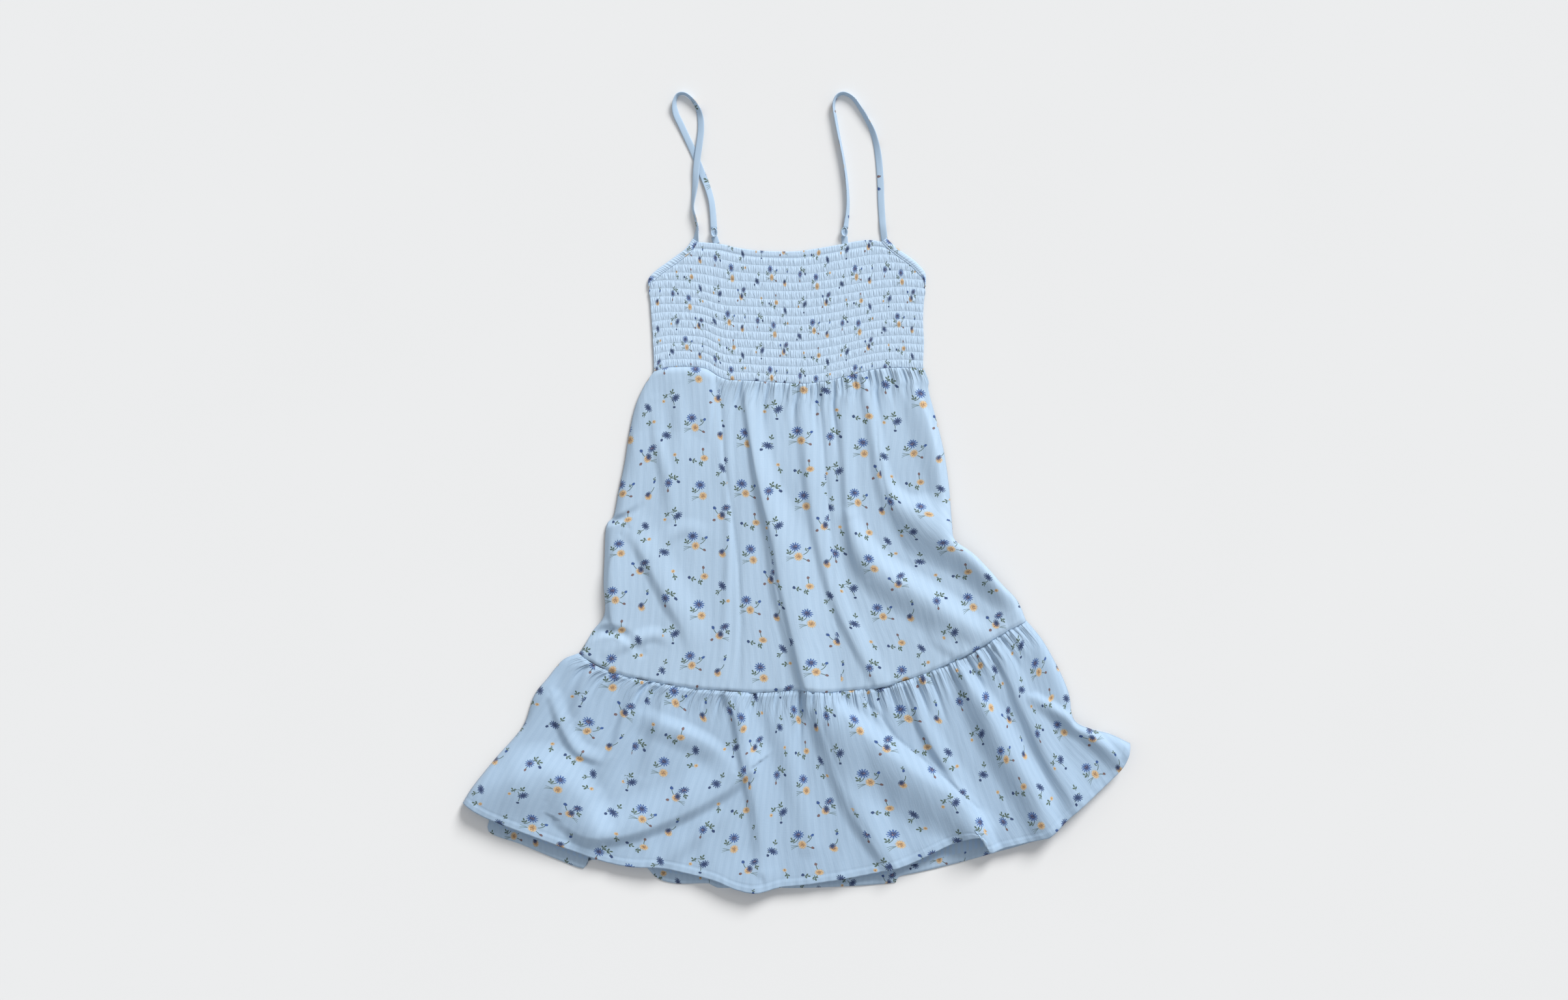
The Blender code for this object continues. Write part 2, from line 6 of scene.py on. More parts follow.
import bmesh
import bpy
import numpy as np
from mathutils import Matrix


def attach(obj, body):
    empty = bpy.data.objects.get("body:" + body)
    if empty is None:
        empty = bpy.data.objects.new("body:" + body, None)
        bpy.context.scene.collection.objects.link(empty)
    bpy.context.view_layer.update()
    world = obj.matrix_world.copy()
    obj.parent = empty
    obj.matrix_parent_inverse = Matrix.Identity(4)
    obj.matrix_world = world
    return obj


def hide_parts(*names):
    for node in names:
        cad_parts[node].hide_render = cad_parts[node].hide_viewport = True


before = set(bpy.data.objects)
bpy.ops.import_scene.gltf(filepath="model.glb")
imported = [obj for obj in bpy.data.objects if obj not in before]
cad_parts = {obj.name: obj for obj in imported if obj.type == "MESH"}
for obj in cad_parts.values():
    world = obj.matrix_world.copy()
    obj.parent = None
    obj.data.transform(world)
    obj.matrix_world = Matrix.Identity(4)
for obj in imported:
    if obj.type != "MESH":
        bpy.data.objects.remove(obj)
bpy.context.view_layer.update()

# The print. Light blue cotton is printed all over with small bunches of field flowers: blue cornflowers over
# yellow daisies, single buds and leafy sprigs. The bunches stand in columns, each dropped below the last.
REPEAT_ACROSS = 95.2
REPEAT_DOWN = 127.4
COLUMN_DROP = 67.9
CUT_LEFT = 49.7
CUT_TOP = 14.0
TO_MM = 1000.0
PETAL_GRAIN = 900.0
DAB_GRAIN = 1300.0
PRINT_STRENGTH = 0.94
CORNFLOWERS = (
    # across, down, half width, half height, turn, darkness
    (-2.1, -5.6, 5.7, 4.8, 0, 0.1), (5.6, 65.1, 5.7, 4.8, 10, 0.1), (-31.5, 10.5, 5.9, 3.6, 28, 0.75),
    (-19.6, 98, 5.6, 3.8, -38, 0.8), (33.6, 89.6, 5.5, 3.6, -25, 0.62), (-30.1, 60.2, 4.6, 4.6, 0, 0.3),
    (31.5, 46.2, 5.7, 3.4, 55, 0.85), (29.4, 97.3, 3.2, 4.1, -20, 1), (30.1, 9.8, 3.6, 2.8, -30, 1),
)
DAISIES = (
    # across, down, half width, half height, turn, brownness
    (1.4, 4.9, 5.2, 5.2, 0, 0.2), (8.4, 77, 5.3, 5.3, 0, 0.2), (11.9, 36.4, 5.2, 3.9, 0, 0.5),
    (28, 99.4, 5, 4.6, 0, 0.6), (30.8, 12.6, 4.9, 4.2, 35, 0.4), (-33.6, 100.8, 2.2, 2.2, 0, 0.9),
    (-21.7, 31.5, 2.5, 2.2, 0, 0.8), (37.1, 62.3, 2.5, 2.2, 0, 0.8),
)
BUDS = (
    # across, down, half width, half height, turn, tone
    (12.6, -4.2, 2.2, 1.7, -35, 0.05), (11.2, 9.1, 2.1, 1.5, 25, 0.5), (10.5, 27.3, 1.7, 2, 0, 0.6),
    (-4.2, 37.8, 2, 2, 0, 0.85), (-37.1, 14.7, 1.8, 1.8, 0, 0.95), (-21.7, 108.5, 2, 1.5, 0, 0.95),
    (21, 90.3, 2.4, 2, 35, 0.35), (20.3, 103.6, 2.2, 1.7, -25, 0.45), (-30.8, 68.6, 1.4, 2.1, 0, 0.5),
    (-18.9, 60.2, 2.5, 1.8, 30, 0.9), (36.4, -2.8, 1.5, 2.1, 30, 0.3),
)
SPRIGS = (
    # across, down, size, turn
    (-8.4, 0, 3.8, -35), (-1.4, 70.7, 3.8, -35), (7.7, 42, 3.6, 160), (0, 39.2, 3.5, 100),
    (-28, 1.4, 3.6, 10), (-23.1, 91, 3.9, 15), (-31.5, 95.2, 3.6, -60), (37.1, 95.2, 3.4, 150),
    (-27.3, 53.2, 3.6, 20), (-22.4, 55.3, 3.9, 75), (-19.6, 37.8, 3.5, 170), (25.9, 52.5, 3.1, -140),
    (31.5, 63, 3.8, -90), (36.4, -5.6, 2.5, 20), (9.1, -2.8, 2.4, 60),
)
GRASSES = (
    # across, down, size, side
    (-7, 6.3, 6.3, 1), (0, 78.4, 6.3, 1), (35, 102.2, 5.6, -1),
)
STEMS = (
    # from across, from down, to across, to down, bow
    (-2.1, -2.1, -8.4, 2.8, -1), (6.3, 2.8, 11.9, -2.8, 0.8), (5.6, 7, 10.5, 9.8, -0.4),
    (5.6, 67.9, -1.4, 73.5, -1), (10.5, 28.7, 11.2, 33.6, 0.3), (9.8, 39.2, 5.6, 44.1, -0.7),
    (-26.6, 8.4, -37.1, 11.9, 1.7), (-26.6, 95.2, -21.7, 106.4, -1.4), (21.7, 91.7, 25.9, 97.3, 0.6),
    (32.9, 8.4, 36.4, 2.8, 0.6), (-30.1, 63, -30.8, 67.9, 0.3), (-28.7, 56, -19.6, 58.8, -1.7),
    (30.8, 50.4, 25.9, 56, 1), (-21, 33.6, -19.6, 38.5, 0.4), (-32.2, 96.6, -23.8, 93.1, -1.5),
    (35, 91.7, 37.1, 97.3, 0.6),
)
NAVY = (0.014, 0.032, 0.115)
CORNFLOWER_BLUE = (0.036, 0.105, 0.36)
PALE_BLUE = (0.12, 0.235, 0.56)
HEART_PINK = (0.52, 0.33, 0.36)
PETAL_YELLOW = (0.74, 0.46, 0.18)
PETAL_CREAM = (0.80, 0.60, 0.34)
HEART_BROWN = (0.30, 0.14, 0.045)
LEAF_DARK = (0.035, 0.075, 0.055)
LEAF_OLIVE = (0.12, 0.165, 0.085)
BUD_PINK = (0.20, 0.11, 0.10)
DARK_DABS = (0.045, 0.06, 0.085)


def add_node(tree, kind, values, **settings):
    """A shader node with its settings, and its inputs linked to sockets or set to plain values."""
    made = tree.nodes.new(kind)
    for name, value in settings.items():
        setattr(made, name, value)
    for place, value in values.items():
        if isinstance(value, bpy.types.NodeSocket):
            tree.links.new(value, made.inputs[place])
        else:
            made.inputs[place].default_value = value
    return made


def sums(tree, operation, *values, clamp=False):
    made = add_node(tree, "ShaderNodeMath", dict(enumerate(values)), operation=operation, use_clamp=clamp)
    return made.outputs[0]


def split(tree, vector):
    return add_node(tree, "ShaderNodeSeparateXYZ", {0: vector}).outputs


def vector_length(tree, vector):
    return add_node(tree, "ShaderNodeVectorMath", {0: vector}, operation="LENGTH").outputs["Value"]


def noise(tree, place, scale, detail):
    values = {"Vector": place, "Scale": scale, "Detail": detail}
    return add_node(tree, "ShaderNodeTexNoise", values).outputs[0]


def stretched(tree, place, scale):
    return add_node(tree, "ShaderNodeMapping", {"Vector": place, "Scale": scale}).outputs[0]


def blended(tree, share, first, second):
    """One colour laid over another by a share from 0 to 1."""
    first, second = ((*c, 1) if isinstance(c, tuple) else c for c in (first, second))
    made = add_node(tree, "ShaderNodeMix", {0: share, 6: first, 7: second}, data_type="RGBA")
    return made.outputs[2]


def new_group(name, inputs, outputs):
    """An empty node group with named sockets, and its inner input and output nodes."""
    tree = bpy.data.node_groups.new(name, "ShaderNodeTree")
    for label, kind, value in inputs:
        socket = tree.interface.new_socket(label, in_out="INPUT", socket_type=kind)
        if value is not None:
            socket.default_value = value
    for label, kind in outputs:
        tree.interface.new_socket(label, in_out="OUTPUT", socket_type=kind)
    return tree, tree.nodes.new("NodeGroupInput"), tree.nodes.new("NodeGroupOutput")


def nearest_motif(tree, spot, rows):
    """The spot as seen from the nearest motif of a table, in that motif's own size; tone is in z."""
    best = least = None
    for across, down, wide, high, turn, tone in rows:
        local = add_node(tree, "ShaderNodeMapping", {
            "Vector": spot, "Location": (across, down, -tone / 10), "Rotation": (0, 0, math.radians(turn)),
            "Scale": (wide, high, 1)}, vector_type="TEXTURE").outputs[0]
        reach = vector_length(tree, local)
        if best is None:
            best, least = local, reach
            continue
        nearer = sums(tree, "LESS_THAN", reach, least)
        best = add_node(tree, "ShaderNodeMix", {0: nearer, 4: best, 5: local}, data_type="VECTOR").outputs[1]
        least = sums(tree, "MINIMUM", reach, least)
    parts = split(tree, best)
    tone = sums(tree, "MULTIPLY", parts[2], 10)
    return best, parts[0], parts[1], tone, least


def inside_edge(tree, reach, edge, softness):
    """1 inside an edge, 0 outside it, with a soft border."""
    past = sums(tree, "SUBTRACT", edge, reach)
    return sums(tree, "DIVIDE", past, softness, clamp=True)


def petals(tree, x, y, count, deep, wobble):
    """How far the petals of a round flower reach at an angle, from 1 - deep to 1, and their round lobes."""
    angle = sums(tree, "ARCTAN2", y, x)
    turned = sums(tree, "MULTIPLY_ADD", angle, count / 2, wobble)
    lobe = sums(tree, "ABSOLUTE", sums(tree, "SINE", turned))
    return sums(tree, "MULTIPLY_ADD", lobe, deep, 1 - deep), lobe


def build_flower_print():
    tree, given, result = new_group("field_flower_print", [("Cloth", "NodeSocketVector", None)],
                                    [("Colour", "NodeSocketColor"), ("Mask", "NodeSocketFloat")])
    parts = split(tree, given.outputs["Cloth"])
    across = sums(tree, "MULTIPLY", parts[0], TO_MM)
    down = sums(tree, "MULTIPLY", parts[1], TO_MM)
    column = sums(tree, "FLOOR", sums(tree, "DIVIDE", sums(tree, "ADD", across, CUT_LEFT), REPEAT_ACROSS))
    in_column = sums(tree, "MULTIPLY_ADD", column, -REPEAT_ACROSS, across)
    dropped = sums(tree, "MULTIPLY_ADD", column, -COLUMN_DROP, down)
    row = sums(tree, "FLOOR", sums(tree, "DIVIDE", sums(tree, "ADD", dropped, CUT_TOP), REPEAT_DOWN))
    in_row = sums(tree, "MULTIPLY_ADD", row, -REPEAT_DOWN, dropped)
    spot = add_node(tree, "ShaderNodeCombineXYZ", {0: in_column, 1: in_row}).outputs[0]
    grain = noise(tree, given.outputs["Cloth"], PETAL_GRAIN, 2.0)
    wobble = sums(tree, "MULTIPLY", grain, 2.4)

    # Stems: each is a thin bowed line between its two ends
    rows = []
    for x, y, to_x, to_y, bow in STEMS:
        half = math.hypot(to_x - x, to_y - y) / 2
        turn = math.degrees(math.atan2(to_y - y, to_x - x))
        rows.append(((x + to_x) / 2, (y + to_y) / 2, half, 1, turn, bow))
    _, x, y, bow, _ = nearest_motif(tree, spot, rows)
    curve = sums(tree, "MULTIPLY", bow, sums(tree, "SUBTRACT", 1, sums(tree, "MULTIPLY", x, x)))
    off_line = sums(tree, "ABSOLUTE", sums(tree, "SUBTRACT", y, curve))
    in_length = inside_edge(tree, sums(tree, "ABSOLUTE", x), 1.05, 0.1)
    stem = sums(tree, "MULTIPLY", inside_edge(tree, off_line, 0.55, 0.35), in_length)

    # Sprigs: three leaves on a short stalk
    rows = [(x, y, size, size, turn, 0) for x, y, size, turn in SPRIGS]
    local, x, y, _, _ = nearest_motif(tree, spot, rows)
    leaves = None
    for leaf_x, leaf_y, turn in ((-0.42, 0.05, -52), (0.40, 0.20, 48), (0.02, -0.55, 5)):
        leaf = add_node(tree, "ShaderNodeMapping", {
            "Vector": local, "Location": (leaf_x, leaf_y, 0), "Rotation": (0, 0, math.radians(turn)),
            "Scale": (0.23, 0.42, 1)}, vector_type="TEXTURE").outputs[0]
        reach = vector_length(tree, leaf)
        leaves = reach if leaves is None else sums(tree, "MINIMUM", leaves, reach)
    stalk = sums(tree, "ABSOLUTE", sums(tree, "MULTIPLY_ADD", sums(tree, "MULTIPLY", y, y), 0.12, x))
    stalk = sums(tree, "MULTIPLY", inside_edge(tree, stalk, 0.13, 0.08),
                 inside_edge(tree, sums(tree, "ABSOLUTE", y), 0.9, 0.1))
    leaf = inside_edge(tree, leaves, sums(tree, "MULTIPLY_ADD", grain, 0.5, 0.85), 0.25)
    green = sums(tree, "MAXIMUM", sums(tree, "MAXIMUM", leaf, stalk), stem)

    # Grass: thin pale blades beside a bunch
    rows = [(x, y, side * size, size, 0, 0) for x, y, size, side in GRASSES]
    _, x, y, _, _ = nearest_motif(tree, spot, rows)
    blades = None
    for spread, bend in ((0.42, 0.22), (0.18, 0.16), (-0.08, 0.10)):
        curve = sums(tree, "MULTIPLY_ADD", sums(tree, "MULTIPLY", x, x), bend, -0.64 * bend)
        curve = sums(tree, "MULTIPLY_ADD", sums(tree, "SUBTRACT", x, 0.8), -spread, curve)
        blade = sums(tree, "ABSOLUTE", sums(tree, "SUBTRACT", y, curve))
        blades = blade if blades is None else sums(tree, "MINIMUM", blades, blade)
    grass = sums(tree, "MULTIPLY", inside_edge(tree, blades, 0.075, 0.06),
                 inside_edge(tree, sums(tree, "ABSOLUTE", x), 0.75, 0.2))
    olive_share = sums(tree, "MULTIPLY_ADD", grain, 2.6, -0.8, clamp=True)
    green_colour = blended(tree, olive_share, LEAF_DARK, LEAF_OLIVE)
    mask = sums(tree, "MAXIMUM", green, sums(tree, "MULTIPLY", grass, 0.75))

    # Daisies: soft yellow petals round a brown heart
    _, x, y, tone, reach = nearest_motif(tree, spot, DAISIES)
    edge, lobe = petals(tree, x, y, 13, 0.34, wobble)
    daisy = inside_edge(tree, reach, edge, 0.16)
    paleness = sums(tree, "MULTIPLY_ADD", reach, 0.9, -0.6)
    paleness = sums(tree, "MULTIPLY_ADD", lobe, 0.5, paleness, clamp=True)
    yellow = blended(tree, paleness, PETAL_YELLOW, PETAL_CREAM)
    heart = inside_edge(tree, reach, sums(tree, "MULTIPLY_ADD", grain, 1.9, -0.44), 0.3)
    yellow = blended(tree, sums(tree, "MULTIPLY", heart, 0.85), yellow, HEART_BROWN)
    colour = blended(tree, daisy, green_colour, yellow)
    mask = sums(tree, "MAXIMUM", mask, sums(tree, "MULTIPLY", daisy, 0.96))

    # Cornflowers: ragged blue petals, the open ones with a pink heart
    _, x, y, tone, reach = nearest_motif(tree, spot, CORNFLOWERS)
    edge, lobe = petals(tree, x, y, 12, 0.6, wobble)
    flower = inside_edge(tree, reach, sums(tree, "MULTIPLY", edge, 1.16), 0.14)
    mid = blended(tree, sums(tree, "MULTIPLY_ADD", grain, 3.2, -1.2, clamp=True), CORNFLOWER_BLUE, PALE_BLUE)
    dark = blended(tree, sums(tree, "MULTIPLY_ADD", grain, 4.0, -1.9, clamp=True), NAVY, CORNFLOWER_BLUE)
    darkness = sums(tree, "MULTIPLY_ADD", grain, 1.6, -0.75)
    darkness = sums(tree, "MULTIPLY_ADD", tone, 1.1, darkness, clamp=True)
    blue = blended(tree, darkness, mid, dark)
    core = inside_edge(tree, reach, sums(tree, "MULTIPLY_ADD", grain, 1.3, -0.02), 0.3)
    blue = blended(tree, core, blue, NAVY)
    specks = sums(tree, "MULTIPLY_ADD", grain, 9.0, -4.9, clamp=True)
    is_open = sums(tree, "LESS_THAN", tone, 0.7)
    open_heart = sums(tree, "MULTIPLY", inside_edge(tree, reach, 0.5, 0.2), is_open)
    blue = blended(tree, sums(tree, "MULTIPLY", specks, open_heart), blue, HEART_PINK)
    colour = blended(tree, flower, colour, blue)
    mask = sums(tree, "MAXIMUM", mask, flower)

    # Buds: small, from bright blue to pink to dark
    _, x, y, tone, reach = nearest_motif(tree, spot, BUDS)
    bud = inside_edge(tree, reach, sums(tree, "MULTIPLY_ADD", grain, 0.8, 0.55), 0.25)
    pinkness = sums(tree, "COMPARE", tone, 0.5, 0.12)
    bud_blue = blended(tree, tone, CORNFLOWER_BLUE, NAVY)
    bud_colour = blended(tree, pinkness, bud_blue, BUD_PINK)
    colour = blended(tree, bud, colour, bud_colour)
    mask = sums(tree, "MAXIMUM", mask, bud)

    # Dabs: small dark spots of ink over all the motifs
    dabs = noise(tree, given.outputs["Cloth"], DAB_GRAIN, 1.0)
    dabs = sums(tree, "MULTIPLY", sums(tree, "MULTIPLY_ADD", dabs, 6.0, -3.0, clamp=True), 0.55)
    tree.links.new(blended(tree, dabs, colour, DARK_DABS), result.inputs["Colour"])
    tree.links.new(mask, result.inputs["Mask"])
    return tree


# The cloth under the print. It is a fine plain weave with slightly thicker threads along it and a satin stripe
# every few millimetres. Elastic thread and gathered seams pucker it, more finely than the mesh can show.
# Pitches are in millimetres, heights of the relief in metres.
STRIPE_PITCH = 7.6
THREAD_SCALE = (1100.0, 70.0, 1.0)
PICK_SCALE = (90.0, 1300.0, 1.0)
CRINKLE_SCALE = (160.0, 28.0, 1.0)
WEAVE_HEIGHT = 0.0006
PUCKER_PITCH = 2.7
PUCKER_HEIGHT = 0.0006
GATHER_PITCH = 4.6
GATHER_HEIGHT = 0.0011
CLOTH_LIGHT = (0.450, 0.590, 0.740)
CLOTH_SHADE = (0.412, 0.548, 0.696)
INSIDE_LIGHT = (0.430, 0.565, 0.700)
INSIDE_SHADE = (0.40, 0.57, 0.79)


def build_striped_weave():
    tree, given, result = new_group(
        "striped_cotton_weave",
        [("Cloth", "NodeSocketVector", None), ("Stripe", "NodeSocketFloat", 1.0)],
        [("Tone", "NodeSocketFloat"), ("Height", "NodeSocketFloat")])
    cloth = given.outputs["Cloth"]
    parts = split(tree, cloth)
    turn = sums(tree, "MULTIPLY", parts[0], 2 * math.pi * TO_MM / STRIPE_PITCH)
    wave = sums(tree, "MULTIPLY_ADD", sums(tree, "SINE", turn), 1.6, 0.5, clamp=True)
    stripe = sums(tree, "MULTIPLY", sums(tree, "SUBTRACT", wave, 0.5), given.outputs["Stripe"])
    threads = noise(tree, stretched(tree, cloth, THREAD_SCALE), 1.0, 3.0)
    picks = noise(tree, stretched(tree, cloth, PICK_SCALE), 1.0, 2.0)
    crinkle = noise(tree, stretched(tree, cloth, CRINKLE_SCALE), 1.0, 2.0)
    fine = sums(tree, "ADD", threads, sums(tree, "MULTIPLY", picks, 0.55))
    tone = sums(tree, "MULTIPLY_ADD", fine, 0.9, sums(tree, "MULTIPLY_ADD", stripe, 0.5, -0.2))
    height = sums(tree, "ADD", sums(tree, "MULTIPLY", fine, 0.35), sums(tree, "MULTIPLY", crinkle, 1.6))
    height = sums(tree, "MULTIPLY_ADD", stripe, 0.06, height)
    tree.links.new(tone, result.inputs["Tone"])
    tree.links.new(height, result.inputs["Height"])
    return tree


def build_shirred_puckers():
    """Height of the small puckers that elastic thread draws up, from a map of millimetres and rows."""
    tree, given, result = new_group("shirred_puckers", [("Rows", "NodeSocketVector", None)],
                                    [("Height", "NodeSocketFloat")])
    parts = split(tree, given.outputs["Rows"])
    row = sums(tree, "FLOOR", parts[1])
    by_row = add_node(tree, "ShaderNodeCombineXYZ", {
        0: sums(tree, "MULTIPLY", parts[0], 0.2),
        1: sums(tree, "MULTIPLY_ADD", row, 5.3, sums(tree, "MULTIPLY", parts[1], 0.45))}).outputs[0]
    drift = noise(tree, by_row, 1.0, 2.0)
    turn = sums(tree, "MULTIPLY_ADD", drift, 8.0, sums(tree, "MULTIPLY", parts[0], math.pi / PUCKER_PITCH))
    crest = sums(tree, "POWER", sums(tree, "ABSOLUTE", sums(tree, "SINE", turn)), 0.7)
    uneven = noise(tree, by_row, 3.1, 1.0)
    crest = sums(tree, "MULTIPLY", crest, sums(tree, "MULTIPLY_ADD", uneven, 1.8, -0.1))
    stitch_line = sums(tree, "MULTIPLY_ADD", uneven, 0.16, parts[1])
    across_row = sums(tree, "ABSOLUTE", sums(tree, "SINE", sums(tree, "MULTIPLY", stitch_line, math.pi)))
    held = sums(tree, "POWER", across_row, 0.6)
    casing = sums(tree, "MULTIPLY_ADD", sums(tree, "GREATER_THAN", parts[1], 0.0), 0.5, 0.5)
    height = sums(tree, "MULTIPLY", held, sums(tree, "MULTIPLY_ADD", crest, casing, 0.2))
    tree.links.new(height, result.inputs["Height"])
    return tree


def build_gathered_creases():
    """Height of the fine creases below a gathered seam, from a map of millimetres along and below it."""
    tree, given, result = new_group("gathered_creases", [("Seam", "NodeSocketVector", None)],
                                    [("Height", "NodeSocketFloat")])
    parts = split(tree, given.outputs["Seam"])
    spot = add_node(tree, "ShaderNodeCombineXYZ", {0: sums(tree, "MULTIPLY", parts[0], 0.11),
                                                   1: sums(tree, "MULTIPLY", parts[1], 0.012)}).outputs[0]
    drift = noise(tree, spot, 1.0, 2.0)
    turn = sums(tree, "MULTIPLY_ADD", drift, 11.0, sums(tree, "MULTIPLY", parts[0], math.pi / GATHER_PITCH))
    crest = sums(tree, "POWER", sums(tree, "ABSOLUTE", sums(tree, "SINE", turn)), 0.85)
    reach = noise(tree, spot, 2.7, 1.0)
    reach = sums(tree, "MULTIPLY_ADD", reach, 130.0, -42.0)
    fade = sums(tree, "SUBTRACT", 1.0, sums(tree, "DIVIDE", parts[1], sums(tree, "MAXIMUM", reach, 6.0)),
                clamp=True)
    tree.links.new(sums(tree, "MULTIPLY", crest, sums(tree, "POWER", fade, 1.5)), result.inputs["Height"])
    return tree


flower_print = build_flower_print()
striped_weave = build_striped_weave()
shirred_puckers = build_shirred_puckers()
gathered_creases = build_gathered_creases()


def cotton(name, printed=True, stripe=1.0, light=CLOTH_LIGHT, shade=CLOTH_SHADE, crease=WEAVE_HEIGHT,
           puckers=None):
    """A cotton finish on the cloth's own UV map. Puckers are a relief, its UV map and its height."""
    material = bpy.data.materials.new(name)
    material.use_nodes = True
    tree = material.node_tree
    shader = tree.nodes["Principled BSDF"]
    cloth = add_node(tree, "ShaderNodeUVMap", {}, uv_map="cloth").outputs[0]
    weave = add_node(tree, "ShaderNodeGroup", {}, node_tree=striped_weave)
    tree.links.new(cloth, weave.inputs["Cloth"])
    weave.inputs["Stripe"].default_value = stripe
    colour = blended(tree, weave.outputs["Tone"], shade, light)
    if printed:
        flowers = add_node(tree, "ShaderNodeGroup", {}, node_tree=flower_print)
        tree.links.new(cloth, flowers.inputs["Cloth"])
        strength = sums(tree, "MULTIPLY", flowers.outputs["Mask"], PRINT_STRENGTH)
        colour = blended(tree, strength, colour, flowers.outputs["Colour"])
    tree.links.new(colour, shader.inputs["Base Color"])
    bump = add_node(tree, "ShaderNodeBump", {"Height": weave.outputs["Height"], "Strength": 0.5,
                                             "Distance": crease})
    if puckers:
        group, label, height = puckers
        place = add_node(tree, "ShaderNodeUVMap", {}, uv_map=label).outputs[0]
        drawn_up = add_node(tree, "ShaderNodeGroup", {}, node_tree=group)
        tree.links.new(place, drawn_up.inputs[0])
        bump = add_node(tree, "ShaderNodeBump", {"Height": drawn_up.outputs[0], "Strength": 1.0,
                                                 "Distance": height, "Normal": bump.outputs[0]})
    tree.links.new(bump.outputs[0], shader.inputs["Normal"])
    shader.inputs["Roughness"].default_value = 0.86
    shader.inputs["Sheen Weight"].default_value = 0.12
    shader.inputs["Sheen Roughness"].default_value = 0.5
    shader.inputs["Specular IOR Level"].default_value = 0.25
    return material


# The outline that all the panels share, left to right or top to bottom, laid out as the dress lies.
NECKLINE = ((-106, 270), (-82, 266), (-64, 262), (-43, 259), (-21, 258), (-1, 258),
            (16, 260), (34, 263), (50, 266), (66, 269), (80, 270), (91, 271))
ARMHOLE_LEFT = ((-111.5, 271.5), (-118, 262), (-128, 254), (-139, 246), (-150, 238), (-158.5, 229),
                (-159, 219))
ARMHOLE_RIGHT = ((96.5, 272.5), (103, 266), (113, 258), (123, 251), (131, 244), (138.5, 234), (139, 220))
SIDE_LEFT = ((-158.5, 213), (-157, 206), (-156, 192), (-155, 178), (-154, 160), (-153, 138), (-153, 128))
SIDE_RIGHT = ((138.7, 214), (137, 204), (136, 182), (137, 160), (136, 138), (137, 131))
WAIST = ((-153, 128), (-141, 132), (-128, 133), (-113, 133), (-97, 131), (-84, 123), (-72, 119),
         (-49, 118), (-20, 116), (10, 115), (34, 118), (55, 123), (69, 127), (90, 131), (113, 132),
         (137, 131))
SKIRT_LEFT = ((-153, 128), (-162, 116), (-172, 94), (-179, 64), (-184, 32), (-190, 4), (-196, -26),
              (-204, -37), (-206, -73), (-207, -99), (-206, -131), (-218, -149), (-227, -164), (-234, -174))
SKIRT_RIGHT = ((137, 131), (142, 118), (142, 108), (151, 74), (159, 40), (164, 4), (167, -34), (170, -52),
               (189, -66), (206, -83), (220, -99), (237, -117), (247, -139))
TIER_SEAM = ((-234, -174), (-214, -187), (-188, -197), (-156, -204), (-114, -211), (-78, -214), (-36, -216),
             (9, -213), (33, -215), (57, -214), (94, -209), (126, -200), (160, -186), (192, -170),
             (219, -154), (247, -139))
RUFFLE_LEFT = ((-234, -174), (-251, -181), (-267, -200), (-281, -218), (-291, -247), (-303, -264),
               (-321, -284), (-346, -315), (-358, -334))
RUFFLE_RIGHT = ((247, -139), (263, -158), (276, -180), (286, -200), (293, -219), (298, -245), (317, -255),
                (336, -260), (358, -270))
HEM = ((-358, -334), (-337, -347), (-313, -357), (-277, -371), (-239, -385), (-204, -397), (-176, -402),
       (-147, -403), (-118, -409), (-87, -417), (-65, -426), (-43, -430), (-17, -424), (12, -421), (57, -414),
       (92, -407), (121, -399), (146, -387), (170, -376), (190, -370), (201, -373), (206, -387), (226, -381),
       (263, -372), (273, -368), (293, -349), (322, -323), (346, -300), (355, -285), (358, -270))
BACK_HEM = ((-350, -330), (-331, -347), (-330, -366), (-296, -379), (-260, -394), (-229, -405), (-222, -396),
            (-190, -398), (-164, -402), (-150, -415), (-130, -421), (-94, -421), (-88, -425), (-75, -426),
            (-40, -425), (-1, -426), (57, -424), (106, -420), (109, -414), (141, -407), (177, -398),
            (206, -390), (267, -371), (290, -348), (319, -322), (343, -299), (350, -283), (350, -273))
SEAM_GAP = 0.3
FRONT_UNDER = 1.5
FRONT_REST = 2.7
BACK_INSET = 2.0
TO_METRES = 0.001


def smooth_line(points, steps=16):
    """The points of a table joined by one smooth curve, closely spaced."""
    given = np.array(points, float)
    ends = np.vstack([2 * given[0] - given[1], given, 2 * given[-1] - given[-2]])
    t = np.linspace(0, 1, steps, endpoint=False)[:, None]
    runs = []
    for a, b, c, d in zip(ends, ends[1:], ends[2:], ends[3:]):
        cubic = (3 * b - a - 3 * c + d) * t**3
        square = (2 * a - 5 * b + 4 * c - d) * t**2
        runs.append((2 * b + (c - a) * t + square + cubic) / 2)
    return np.vstack(runs + [ends[-2:-1]])


def along(line, share):
    """Points at shares of a line's length."""
    run = np.concatenate([[0], np.cumsum(np.linalg.norm(np.diff(line, axis=0), axis=1))])
    at = np.asarray(share) * run[-1]
    return np.stack([np.interp(at, run, line[:, k]) for k in range(line.shape[1])], axis=-1)


def down(line, share):
    """Points at shares of the way down a line that falls from its first point to its last."""
    fall = (line[0, 1] - line[:, 1]) / (line[0, 1] - line[-1, 1])
    return np.stack([np.interp(share, fall, line[:, k]) for k in range(2)], axis=-1)


def offset(line, distance):
    """A line moved to its own left, by one distance or by one for each point."""
    way = np.gradient(line, axis=0)
    way /= np.linalg.norm(way, axis=1)[:, None]
    return line + np.reshape(distance, (-1, 1)) * np.stack([-way[:, 1], way[:, 0]], axis=1)


